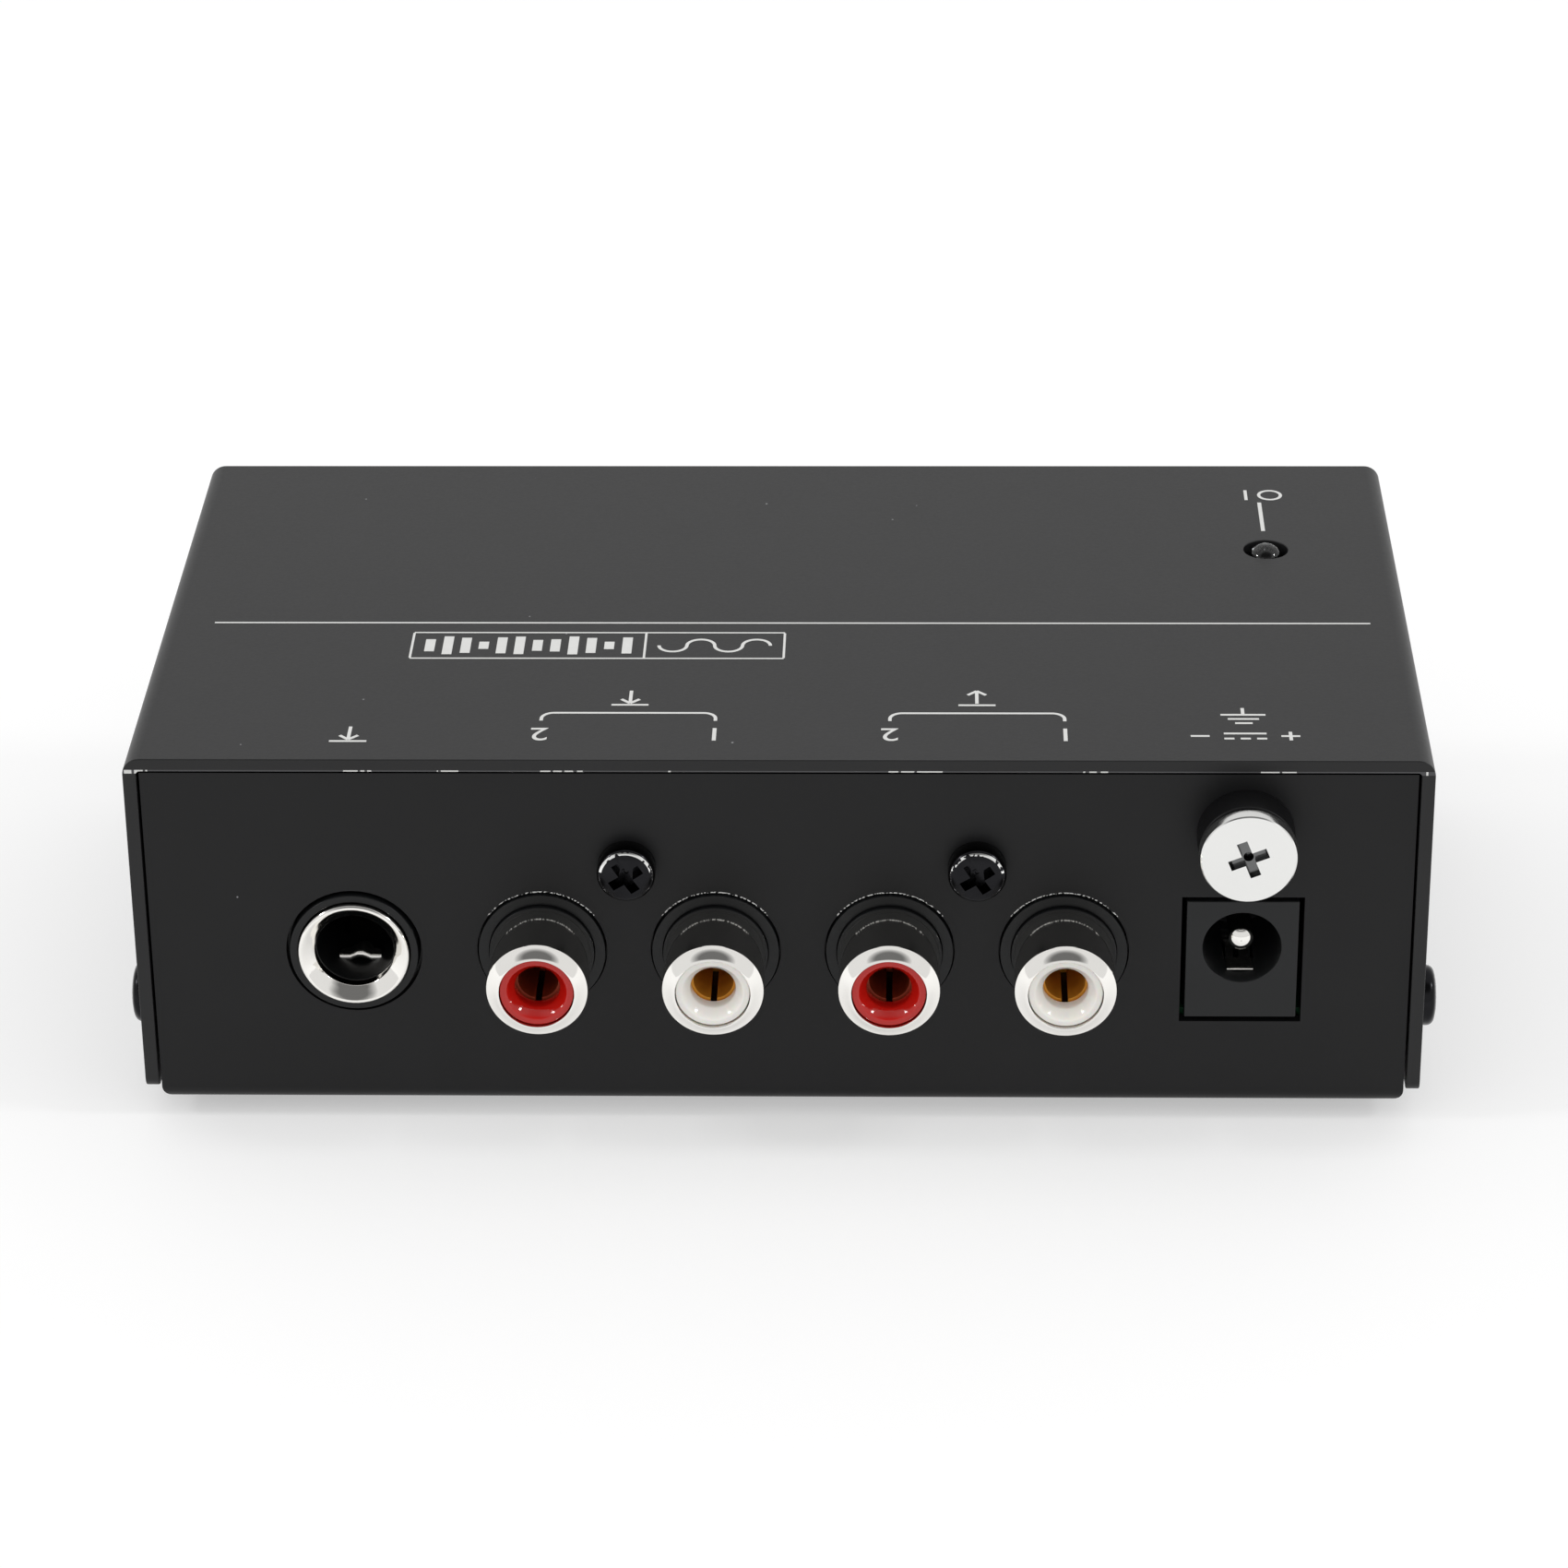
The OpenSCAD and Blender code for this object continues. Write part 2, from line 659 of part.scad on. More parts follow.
// Every opening of the socket panel.
module panel_openings() {
    for (k = [0:3]) on_panel(rca_first_x + k * rca_pitch, rca_h)
        panel_hole(rca_collar_d + 2 * rca_collar_gap);
    for (x = [rca_output_x, rca_input_x]) on_panel(x, rca_h + rca_screw_rise)
        panel_hole(rca_screw_d + 2 * screw_gap);
    on_panel(jack_x, jack_h) panel_hole(jack_bushing_d + 2 * jack_hole_gap);
    on_panel(power_x, earth_h) panel_hole(earth_shank_d);
    on_panel(power_x, dc_h) translate([-dc_w / 2 - dc_cut_gap, -dc_axis_h - dc_cut_gap, -sheet_t - over])
        cube([dc_w + 2 * dc_cut_gap, dc_axis_h + dc_rise + 2 * dc_cut_gap, sheet_t + 2 * over]);
}

module bottom_chassis() {
    collar_top = -sheet_t - cover_gap;
    color(POWDER_BLACK)
    difference() {
        union() {
            chassis_sheet();
            at_case_screws() translate([0, 0, collar_top - sheet_t - case_collar_l])
                cylinder(d = case_screw_d + 2 * case_collar_wall, h = case_collar_l + sheet_t / 2);
        }
        panel_openings();
        at_case_screws() translate([0, 0, collar_top - sheet_t - case_collar_l - over])
            cylinder(d = case_screw_d + 2 * thread_gap, h = case_collar_l + sheet_t + 2 * over);
        at_pillars() translate([0, 0, -over]) cylinder(d = pillar_w, h = sheet_t + 2 * over);
    }
}

module case_screws() {
    color(SCREW_BLACK)
    at_case_screws() pan_screw(case_screw_d, case_screw_l, case_screw_head_d, case_screw_head_h);
}

module rubber_feet() {
    color(RUBBER_BLACK)
    for (side = [-1, 1], end = [-1, 1])
        translate([side * (case_w / 2 - foot_inset), case_y + end * (case_d / 2 - foot_inset), 0])
            rotate_extrude() polygon([
                [0, 0],
                [foot_d / 2 - foot_bevel, 0],
                [foot_d / 2, foot_bevel],
                [foot_d / 2, foot_h],
                [0, foot_h]
            ]);
}

// ---------- Board ----------

module main_pcb() {
    color(BOARD_GREEN)
    difference() {
        on_board(-board_w / 2, board_front) translate([0, 0, -board_t])
            cube([board_w, board_rear - board_front, board_t]);
        at_pillars() translate([0, 0, board_top_h - board_t - over])
            cylinder(d = board_screw_d + 2 * screw_gap, h = board_t + 2 * over);
        socket_leg_holes();
        part_leg_holes();
    }
}

// Holes for every leg and peg of the sockets.
module socket_leg_holes() {
    for (k = [0:3]) on_panel(rca_first_x + k * rca_pitch, rca_h) {
        socket_leg_hole(rca_axis_h, rca_tab_w, rca_tab_t, rca_tab_back);
        socket_leg_hole(rca_axis_h, rca_leg_w, rca_leg_t, rca_tail - rca_leg_t);
    }
    for (x = [rca_output_x, rca_input_x], side = [-1, 1]) on_panel(x, rca_h)
        translate([side * (rca_block_w - rca_block_wall) / 2, over - rca_axis_h, rca_peg_z])
            rotate([90, 0, 0]) cylinder(d = rca_peg_d + 2 * leg_gap, h = board_t + 2 * over);
    on_panel(jack_x, jack_h) {
        socket_leg_hole(jack_axis_h, jack_tab_w, jack_spring_t, -jack_ferrule_back);
        socket_leg_hole(jack_axis_h, jack_tab_w, jack_spring_t, jack_tip_leg_z);
        socket_leg_hole(jack_axis_h, jack_tab_w, jack_spring_t, jack_ring_leg_z);
    }
    on_panel(power_x, dc_h) {
        socket_leg_hole(dc_axis_h, dc_spring_w, dc_leaf_t, dc_pin_leg_z);
        socket_leg_hole(dc_axis_h, dc_spring_w, dc_leaf_t, dc_spring_leg_z);
    }
}

// Holes for the legs of the parts that stand on the board.
module part_leg_holes() {
    hole_d = wire_d + 2 * leg_gap;
    for (x = [left_channel_x, right_channel_x]) {
        at_resistors(x) leg_pair(resistor_span, hole_d);
        at_film_capacitors(x) leg_pair(film_pitch, hole_d);
        on_board(x, chip_row) at_chip_legs() straight_leg(hole_d, over);
    }
    at_coupling_capacitors() leg_pair(coupling_d / 2, hole_d);
    at_reservoirs(jack_x) leg_pair(reservoir_d / 2, hole_d);
    at_reservoirs(power_x) leg_pair(reservoir_d / 2, hole_d);
    on_board(power_x, choke_row) leg_pair(choke_d / 2, hole_d);
    on_board(power_x, diode_row) leg_pair(resistor_span, hole_d);
    on_board(pillar_x, regulator_row) regulator_legs(hole_d, over);
    on_board(led_x, led_row) leg_pair(led_pitch, hole_d);
}

module board_pillars() {
    color(TIN)
    at_pillars() difference() {
        union() {
            cylinder(d = pillar_w, h = sheet_t + over);
            translate([0, 0, sheet_t]) cylinder(d = pillar_w / cos(180 / hex_n), h = board_lift, $fn = hex_n);
        }
        translate([0, 0, board_top_h - board_screw_l - over])
            cylinder(d = board_screw_d + 2 * thread_gap, h = board_screw_l + 2 * over);
    }
}

module board_screws() {
    color(TIN)
    at_pillars() translate([0, 0, board_top_h])
        pan_screw(board_screw_d, board_screw_l, board_screw_head_d, board_screw_head_h);
}

// ---------- Phono sockets ----------

// Twin housing: one moulding, open at its back and its bottom, with two collars and a screw ear.
module rca_housing(x) {
    back = -sheet_t - rca_block_d;
    ear_top = rca_screw_rise + rca_ear_w / 2;
    pocket_w = (rca_block_w - 3 * rca_block_wall) / 2;
    color(PLASTIC_BLACK)
    on_panel(x, rca_h) difference() {
        union() {
            translate([-rca_block_w / 2, -rca_axis_h, back])
                cube([rca_block_w, rca_axis_h + rca_block_rise, rca_block_d]);
            translate([-rca_ear_w / 2, 0, back]) cube([rca_ear_w, rca_screw_rise, rca_block_d]);
            translate([0, rca_screw_rise, back]) cylinder(d = rca_ear_w, h = rca_block_d);
            for (side = [-1, 1]) {
                translate([side * rca_pitch / 2, 0, -sheet_t - over])
                    cylinder(d = rca_collar_d, h = sheet_t + over + rca_collar_out);
                translate([side * (rca_block_w - rca_block_wall) / 2, over - rca_axis_h, rca_peg_z])
                    rotate([90, 0, 0]) cylinder(d = rca_peg_d, h = board_t + over);
            }
        }
        for (side = [-1, 1]) {
            translate([side * rca_pitch / 2, 0, rca_seat - over])
                cylinder(d = rca_root_d + 2 * rca_fit_gap, h = -rca_seat + rca_collar_out + 2 * over);
            pocket_x = side * (pocket_w + rca_block_wall) / 2;
            translate([pocket_x - pocket_w / 2, -rca_axis_h - over, back - over])
                cube([pocket_w, rca_axis_h + rca_block_rise - rca_block_wall + over, rca_seat - back + over]);
        }
        translate([0, rca_screw_rise, -sheet_t - rca_screw_l])
            cylinder(d = rca_screw_d + 2 * thread_gap, h = rca_screw_l + over);
    }
}

// Plated shell with a tapered and rolled front rim, a thicker root in the collar and a foot flange.
module rca_shell(x) {
    r = rca_shell_d / 2;
    bore_r = r - rca_shell_t;
    rim_back = rca_reach - rca_rim_l;
    color(NICKEL)
    on_panel(x, rca_h) rotate_extrude() {
        translate([bore_r, rca_shell_back]) square([rca_shell_t, rim_back + rca_rim_land / 2 - rca_shell_back]);
        translate([bore_r, rca_shell_back]) square([rca_root_d / 2 - bore_r, rca_root_out - rca_shell_back]);
        hull() {
            translate([r - rca_rim_w, rim_back]) square([rca_rim_w, rca_rim_land]);
            translate([r - rca_rim_w + rca_lip_r, rca_reach - rca_lip_r]) circle(rca_lip_r);
        }
        translate([bore_r, rca_shell_back]) square([rca_flange_d / 2 - bore_r, rca_flange_t]);
    }
}

// Moulded centre: a funnel leads to the pin hole, and the contact sits in the pocket behind it.
module rca_insulator(x, colour) {
    front_r = rca_shell_d / 2 - rca_rim_w - rca_fit_gap;
    pocket_r = rca_contact_d / 2 + rca_fit_gap;
    shoulder = rca_reach - rca_rim_l - rca_fit_gap;
    color(colour)
    on_panel(x, rca_h) rotate_extrude() polygon([
        [rca_pin_hole_d / 2, rca_face - rca_funnel_l],
        [rca_funnel_d / 2, rca_face],
        [front_r, rca_face],
        [front_r, shoulder],
        [rca_core_d / 2, shoulder],
        [rca_core_d / 2, rca_shell_back],
        [rca_tail_d / 2, rca_shell_back],
        [rca_tail_d / 2, rca_tail],
        [pocket_r, rca_tail],
        [pocket_r, rca_contact_face],
        [rca_pin_hole_d / 2, rca_contact_face]
    ]);
}

// Split centre contact with its closed back and solder leg.
module rca_contact(x) {
    front = rca_contact_face - rca_fit_gap;
    color(BRASS)
    on_panel(x, rca_h) {
        difference() {
            translate([0, 0, rca_tail - rca_leg_t])
                cylinder(d = rca_contact_d, h = front - rca_tail + rca_leg_t);
            translate([0, 0, rca_tail]) cylinder(d = rca_contact_bore_d, h = front - rca_tail + over);
            translate([-rca_slit_w / 2, -rca_contact_d, front - rca_slit_l])
                cube([rca_slit_w, 2 * rca_contact_d, rca_slit_l + over]);
        }
        socket_leg(rca_axis_h, 0, rca_leg_w, rca_leg_t, rca_tail - rca_leg_t);
    }
}

// Stamped ring behind the shell's flange, with a leg down through the board.
module rca_ground_tab(x) {
    color(TIN)
    on_panel(x, rca_h) difference() {
        union() {
            translate([0, 0, rca_tab_back]) cylinder(d = rca_flange_d, h = rca_tab_t);
            socket_leg(rca_axis_h, -rca_flange_d / 2 + over, rca_tab_w, rca_tab_t, rca_tab_back);
        }
        translate([0, 0, rca_tab_back - over])
            cylinder(d = rca_tail_d + 2 * rca_fit_gap, h = rca_tab_t + 2 * over);
    }
}

module rca_panel_screws() {
    color(SCREW_BLACK)
    for (x = [rca_output_x, rca_input_x]) on_panel(x, rca_h + rca_screw_rise) rotate(panel_cross_turn)
        pan_screw(rca_screw_d, rca_screw_l, rca_screw_head_d, rca_screw_head_h);
}

// ---------- Phone jack ----------

module phone_jack_housing() {
    roof = jack_spring_r + 2 * jack_spring_t;
    color(PLASTIC_BLACK)
    on_panel(jack_x, jack_h) difference() {
        union() {
            translate([-jack_body_w / 2, -jack_axis_h, jack_back])
                cube([jack_body_w, jack_axis_h + jack_body_rise, jack_body_d]);
            translate([0, 0, -sheet_t - over])
                cylinder(d = jack_bushing_d, h = sheet_t + over + jack_bushing_out);
        }
        translate([0, 0, -jack_ferrule_back])
            cylinder(d = jack_ferrule_d + 2 * rca_fit_gap, h = jack_ferrule_back + jack_bushing_out + over);
        translate([0, 0, jack_chamber_back]) cylinder(d = jack_chamber_d, h = jack_chamber_l + over);
        // Slot under the chamber, for the ferrule's tab and the tip spring
        translate([-jack_slot_w / 2, -jack_axis_h - over, jack_chamber_back])
            cube([jack_slot_w, jack_axis_h + over, jack_chamber_l + over]);
        // Slot over the chamber and down behind it, for the ring spring
        translate([-jack_slot_w / 2, 0, jack_ring_leg_z - screw_gap])
            cube([jack_slot_w, roof, -jack_ferrule_back - jack_ring_leg_z]);
        translate([-jack_slot_w / 2, -jack_axis_h - over, jack_ring_leg_z - screw_gap])
            cube([jack_slot_w, jack_axis_h + over + roof, jack_spring_t + 2 * screw_gap]);
    }
}

// Plated sleeve contact: the funnel and bore that take the plug, and its leg.
module phone_jack_ferrule() {
    r = jack_ferrule_d / 2;
    edge = (jack_ferrule_d - jack_mouth_d) / 4;
    color(NICKEL)
    on_panel(jack_x, jack_h) {
        rotate_extrude() polygon([
            [jack_bore_d / 2, -jack_ferrule_back],
            [r, -jack_ferrule_back],
            [r, jack_ferrule_out - edge],
            [r - edge, jack_ferrule_out],
            [jack_mouth_d / 2, jack_ferrule_out],
            [jack_bore_d / 2, jack_ferrule_out - jack_mouth_l]
        ]);
        socket_leg(jack_axis_h, -(r + jack_bore_d / 2) / 2, jack_tab_w, jack_spring_t, -jack_ferrule_back);
    }
}

// Outline of a contact spring in depth and height: flat at its root, with a hump at its end.
// The hump's run down, its half crest and its run up are shares of its height.
function leaf_outline(root_z, hump_z, root_r, hump_r, t) =
    let (run = root_r - hump_r)
    let (inner = [
        [root_z, root_r],
        [hump_z - leaf_ramp * run, root_r],
        [hump_z - leaf_crest * run, hump_r],
        [hump_z + leaf_crest * run, hump_r],
        [hump_z + leaf_tail * run, root_r - t]
    ])
    concat(inner, [for (k = [len(inner) - 1:-1:0]) inner[k] + [0, t]]);

module phone_jack_tip_spring() {
    color(NICKEL)
    on_panel(jack_x, jack_h) {
        across(jack_spring_w) mirror([0, 1]) polygon(leaf_outline(
            jack_tip_leg_z, -jack_tip_hump, jack_spring_r, jack_hump_r, jack_spring_t
        ));
        socket_leg(jack_axis_h, -jack_spring_r, jack_tab_w, jack_spring_t, jack_tip_leg_z);
    }
}

module phone_jack_ring_spring() {
    color(NICKEL)
    on_panel(jack_x, jack_h) {
        across(jack_spring_w) polygon(leaf_outline(
            jack_ring_leg_z, -jack_ring_hump, jack_spring_r, jack_hump_r, jack_spring_t
        ));
        socket_leg(jack_axis_h, jack_spring_r + jack_spring_t, jack_tab_w, jack_spring_t, jack_ring_leg_z);
    }
}

// ---------- Power socket ----------

module dc_jack_housing() {
    slot_w = dc_spring_w + 2 * screw_gap;
    slot_back = dc_spring_leg_z - screw_gap;
    color(PLASTIC_BLACK)
    on_panel(power_x, dc_h) difference() {
        union() {
            translate([-dc_w / 2, -dc_axis_h, -dc_front_d]) cube([dc_w, dc_axis_h + dc_rise, dc_front_d]);
            translate([-dc_w / 2, -dc_axis_h, -dc_d]) cube([dc_w, dc_axis_h, dc_d - dc_front_d / 2]);
            translate([0, 0, -dc_d]) cylinder(r = dc_rise - dc_leaf_t, h = dc_d - dc_front_d / 2);
        }
        translate([0, 0, -dc_bore_l]) cylinder(d = dc_bore_d, h = dc_bore_l + over);
        translate([0, 0, -dc_d - over]) cylinder(d = dc_pin_d + 2 * thread_gap, h = dc_d);
        translate([-slot_w / 2, -dc_axis_h - over, slot_back])
            cube([slot_w, dc_axis_h + over, -slot_back - dc_front_d]);
    }
}

// Centre pin with a rounded tip, riveted to its leg behind the socket.
module dc_jack_pin() {
    r = dc_pin_d / 2;
    tip = -dc_pin_back;
    color(NICKEL)
    on_panel(power_x, dc_h) {
        translate([0, 0, -dc_d - dc_leaf_t / 2]) cylinder(d = dc_pin_d, h = dc_d + dc_leaf_t / 2 + tip - r);
        translate([0, 0, tip - r]) sphere(r);
        socket_leg(dc_axis_h, r, dc_spring_w, dc_leaf_t, dc_pin_leg_z);
    }
}

module dc_jack_spring() {
    hump = -dc_front_d - (dc_bore_l - dc_front_d) / 3;
    color(NICKEL)
    on_panel(power_x, dc_h) {
        across(dc_spring_w) mirror([0, 1])
            polygon(leaf_outline(dc_spring_leg_z, hump, dc_spring_r, dc_hump_r, dc_leaf_t));
        socket_leg(dc_axis_h, -dc_spring_r, dc_spring_w, dc_leaf_t, dc_spring_leg_z);
    }
}

// ---------- Earth terminal ----------

// Threaded post, clinched into the panel.
module ground_post() {
    color(POWDER_BLACK)
    on_panel(power_x, earth_h) difference() {
        union() {
            cylinder(d = earth_post_d, h = earth_post_l);
            translate([0, 0, -sheet_t - earth_spread])
                cylinder(d = earth_shank_d, h = sheet_t + earth_spread + over);
        }
        translate([0, 0, -sheet_t - earth_spread - over]) cylinder(
            d = earth_screw_d + 2 * thread_gap,
            h = sheet_t + earth_spread + earth_post_l + 2 * over
        );
    }
}

module ground_washer() {
    color(NICKEL)
    on_panel(power_x, earth_h) translate([0, 0, earth_washer_z]) difference() {
        cylinder(d = earth_washer_d, h = earth_washer_t);
        translate([0, 0, -over])
            cylinder(d = earth_screw_d + 2 * earth_washer_gap, h = earth_washer_t + 2 * over);
    }
}

// Screw with a wide flat head and a cross recess.
module ground_screw() {
    color(NICKEL)
    on_panel(power_x, earth_h) translate([0, 0, earth_head_z]) difference() {
        union() {
            rotate_extrude() polygon([
                [0, 0],
                [earth_head_d / 2, 0],
                [earth_head_d / 2, earth_head_t - earth_head_bevel],
                [earth_head_d / 2 - earth_head_bevel, earth_head_t],
                [0, earth_head_t]
            ]);
            translate([0, 0, -earth_screw_l])
                cylinder(d = earth_screw_d, h = earth_screw_l + earth_head_t / 2);
        }
        translate([0, 0, earth_head_t]) rotate(earth_cross_turn)
            cross_recess(earth_cross_share * earth_head_d, earth_cross_depth);
    }
}

// ---------- Power light ----------

module power_led() {
    r = led_d / 2;
    color(LAMP_CLEAR, lamp_alpha)
    on_board(led_x, led_row) {
        translate([0, 0, led_rim_h]) cylinder(d = led_rim_d, h = led_rim_t);
        translate([0, 0, led_rim_h]) cylinder(d = led_d, h = led_l - r);
        translate([0, 0, led_rim_h + led_l - r]) sphere(r);
        for (side = [-1, 1]) translate([side * led_pitch / 2, 0, 0])
            straight_leg(wire_d, led_rim_h + led_rim_t / 2);
    }
}

// Moulded sleeve that holds the light at the cover's height.
module led_spacer() {
    color(SIGNAL_WHITE)
    on_board(led_x, led_row) difference() {
        cylinder(d = led_sleeve_d, h = led_rim_h);
        for (side = [-1, 1]) translate([side * led_pitch / 2, 0, -over])
            cylinder(d = wire_d + 2 * leg_gap, h = led_rim_h + 2 * over);
    }
}

// ---------- Parts on the board ----------

// Places of one channel's resistors.
module at_resistors(x) {
    for (side = [-1, 1], row = [0:2])
        on_board(x + side * column_x, resistor_row + row * resistor_step) children();
}

// Places of one channel's film capacitors.
module at_film_capacitors(x) {
    for (side = [-1, 1], row = [0, 1]) on_board(x + side * column_x, film_row + row * film_step) children();
}

// Places of the coupling capacitors, beside both chips.
module at_coupling_capacitors() {
    for (x = [left_channel_x, right_channel_x], side = [-1, 1])
        on_board(x + side * coupling_x, chip_row) children();
}

// Places of two reservoir capacitors, on each side of x.
module at_reservoirs(x) {
    for (side = [-1, 1]) on_board(x + side * reservoir_step / 2, reservoir_row) children();
}

// Lying part with bent wire legs, along X.
module axial_part(body_d, body_l, span) {
    wire_z = body_d / 2 + part_lift;
    translate([0, 0, wire_z]) rotate([0, 90, 0]) {
        cylinder(d = body_d, h = body_l, center = true);
        cylinder(d = wire_d, h = span, center = true);
    }
    for (side = [-1, 1]) translate([side * span / 2, 0, 0]) {
        translate([0, 0, wire_z]) sphere(d = wire_d);
        straight_leg(wire_d, wire_z);
    }
}

// Standing can capacitor with the groove that crimps its seal.
module can_capacitor(d, l) {
    groove = d * can_groove;
    rotate_extrude() polygon([
        [0, 0],
        [d / 2, 0],
        [d / 2, 3 * groove],
        [d / 2 - groove, 4 * groove],
        [d / 2 - groove, 5 * groove],
        [d / 2, 6 * groove],
        [d / 2, l - groove],
        [d / 2 - groove, l],
        [0, l]
    ]);
    leg_pair(d / 2, wire_d);
}

// Places of a chip's legs on the board, with Y pointing from the chip outwards.
module at_chip_legs() {
    middle = (chip_legs_a_side - 1) / 2;
    for (turn = [0, 180], k = [0:chip_legs_a_side - 1])
        rotate(turn) translate([(k - middle) * chip_pitch, chip_span / 2, 0]) children();
}

module opamp(x) {
    shoulder = chip_lift + chip_t / 2;
    color(PLASTIC_BLACK)
    on_board(x, chip_row) {
        difference() {
            translate([-chip_l / 2, -chip_w / 2, chip_lift]) cube([chip_l, chip_w, chip_t]);
            translate([-chip_l / 2, 0, shoulder]) cylinder(d = chip_w / 4, h = chip_t);
        }
        at_chip_legs() {
            translate([-wire_d / 2, -chip_span / 2, shoulder])
                cube([wire_d, chip_span / 2 + wire_d / 2, wire_d / 2]);
            straight_leg(wire_d, shoulder + wire_d / 2);
        }
    }
}

module film_capacitors(x) {
    color(CAPACITOR_RED)
    at_film_capacitors(x) {
        translate([-film_l / 2, -film_t / 2, 0]) cube([film_l, film_t, film_h]);
        leg_pair(film_pitch, wire_d);
    }
}

module coupling_capacitors() {
    color(SLEEVE_BLUE)
    at_coupling_capacitors() can_capacitor(coupling_d, coupling_l);
}

module output_capacitors() {
    color(SLEEVE_BLUE)
    at_reservoirs(jack_x) can_capacitor(reservoir_d, reservoir_l);
}

module supply_capacitors() {
    color(SLEEVE_BLUE)
    at_reservoirs(power_x) can_capacitor(reservoir_d, reservoir_l);
}

module resistors(x) {
    color(LACQUER_TAN)
    at_resistors(x) axial_part(resistor_d, resistor_l, resistor_span);
}

module supply_choke() {
    color(FERRITE_GREY)
    on_board(power_x, choke_row) {
        cylinder(d = choke_d, h = choke_flange_t);
        cylinder(d = choke_coil_d, h = choke_l);
        translate([0, 0, choke_l - choke_flange_t]) cylinder(d = choke_d, h = choke_flange_t);
        leg_pair(choke_d / 2, wire_d);
    }
}

module supply_diode() {
    color(SCREW_BLACK)
    on_board(power_x, diode_row) axial_part(diode_d, diode_l, resistor_span);
}

// Three legs of the voltage regulator; a larger d makes the board's holes.
module regulator_legs(d, top) {
    for (k = [-1:1]) translate([k * regulator_pitch, 0, 0]) straight_leg(d, top);
}

module voltage_regulator() {
    color(PLASTIC_BLACK)
    on_board(pillar_x, regulator_row) {
        translate([0, 0, regulator_lift]) difference() {
            cylinder(d = regulator_d, h = regulator_l);
            translate([-regulator_d, regulator_d / 4, -over])
                cube([2 * regulator_d, regulator_d, regulator_l + 2 * over]);
        }
        regulator_legs(wire_d, regulator_lift + over);
    }
}

// ---------- Nodes ----------

top_cover();
bottom_chassis();
case_screws();
rubber_feet();
main_pcb();
board_pillars();
board_screws();
rca_housing(rca_output_x);  // rca_output_housing
rca_housing(rca_input_x);  // rca_input_housing
rca_panel_screws();
rca_shell(output_right_x);  // rca_shell_output_right
rca_shell(output_left_x);  // rca_shell_output_left
rca_shell(input_right_x);  // rca_shell_input_right
rca_shell(input_left_x);  // rca_shell_input_left
rca_insulator(output_right_x, SIGNAL_RED);  // rca_insulator_output_right
rca_insulator(output_left_x, SIGNAL_WHITE);  // rca_insulator_output_left
rca_insulator(input_right_x, SIGNAL_RED);  // rca_insulator_input_right
rca_insulator(input_left_x, SIGNAL_WHITE);  // rca_insulator_input_left
rca_contact(output_right_x);  // rca_contact_output_right
rca_contact(output_left_x);  // rca_contact_output_left
rca_contact(input_right_x);  // rca_contact_input_right
rca_contact(input_left_x);  // rca_contact_input_left
rca_ground_tab(output_right_x);  // rca_ground_tab_output_right
rca_ground_tab(output_left_x);  // rca_ground_tab_output_left
rca_ground_tab(input_right_x);  // rca_ground_tab_input_right
rca_ground_tab(input_left_x);  // rca_ground_tab_input_left
phone_jack_housing();
phone_jack_ferrule();
phone_jack_tip_spring();
phone_jack_ring_spring();
dc_jack_housing();
dc_jack_pin();
dc_jack_spring();
ground_post();
ground_washer();
ground_screw();
power_led();
led_spacer();
opamp(left_channel_x);  // opamp_left
opamp(right_channel_x);  // opamp_right
film_capacitors(left_channel_x);  // film_capacitors_left
film_capacitors(right_channel_x);  // film_capacitors_right
coupling_capacitors();
output_capacitors();
supply_capacitors();
resistors(left_channel_x);  // resistors_left
resistors(right_channel_x);  // resistors_right
supply_choke();
supply_diode();
voltage_regulator();
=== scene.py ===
"""Studio model of a compact phono preamp.

A folded steel case carries four phono sockets, a phone jack, a power socket, an earth terminal
and a power light. Each sub-assembly is a class that builds its own pieces and dresses them.
Lengths are written in millimetres and scaled once, where a mesh becomes a piece.
"""

import logging
import math
from collections.abc import Iterable, Mapping, Sequence
from dataclasses import dataclass, replace
from enum import Enum

import bmesh
import bpy
from bmesh.types import BMesh
from bpy.types import Material, Node, NodeSocket, NodeTree, Object
from mathutils import Matrix, Vector


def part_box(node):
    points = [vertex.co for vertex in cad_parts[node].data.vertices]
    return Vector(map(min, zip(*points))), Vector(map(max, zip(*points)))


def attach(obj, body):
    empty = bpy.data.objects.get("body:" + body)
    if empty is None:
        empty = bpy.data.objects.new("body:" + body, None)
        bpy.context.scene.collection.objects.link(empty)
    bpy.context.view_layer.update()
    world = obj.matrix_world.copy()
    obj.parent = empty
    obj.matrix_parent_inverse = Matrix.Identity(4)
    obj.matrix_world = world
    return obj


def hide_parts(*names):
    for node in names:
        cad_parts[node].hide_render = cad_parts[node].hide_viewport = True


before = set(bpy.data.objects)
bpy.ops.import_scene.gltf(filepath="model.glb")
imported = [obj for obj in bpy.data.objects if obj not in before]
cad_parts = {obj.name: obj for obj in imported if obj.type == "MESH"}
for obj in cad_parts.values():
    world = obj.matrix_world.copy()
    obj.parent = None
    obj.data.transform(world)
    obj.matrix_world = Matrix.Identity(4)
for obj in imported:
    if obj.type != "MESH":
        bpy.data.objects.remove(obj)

bpy.context.view_layer.update()

LOG = logging.getLogger("phono_preamp")
MM = 0.001

# Angles past which two faces meet in an edge that a tool rounds, or that shading keeps sharp
TOOLED_EDGE = math.radians(28)
SHARP_EDGE = math.radians(35)
TURNED_EDGE = math.radians(18)
# Angle up to which neighbouring faces count as one flat face
FLAT = math.radians(0.4)
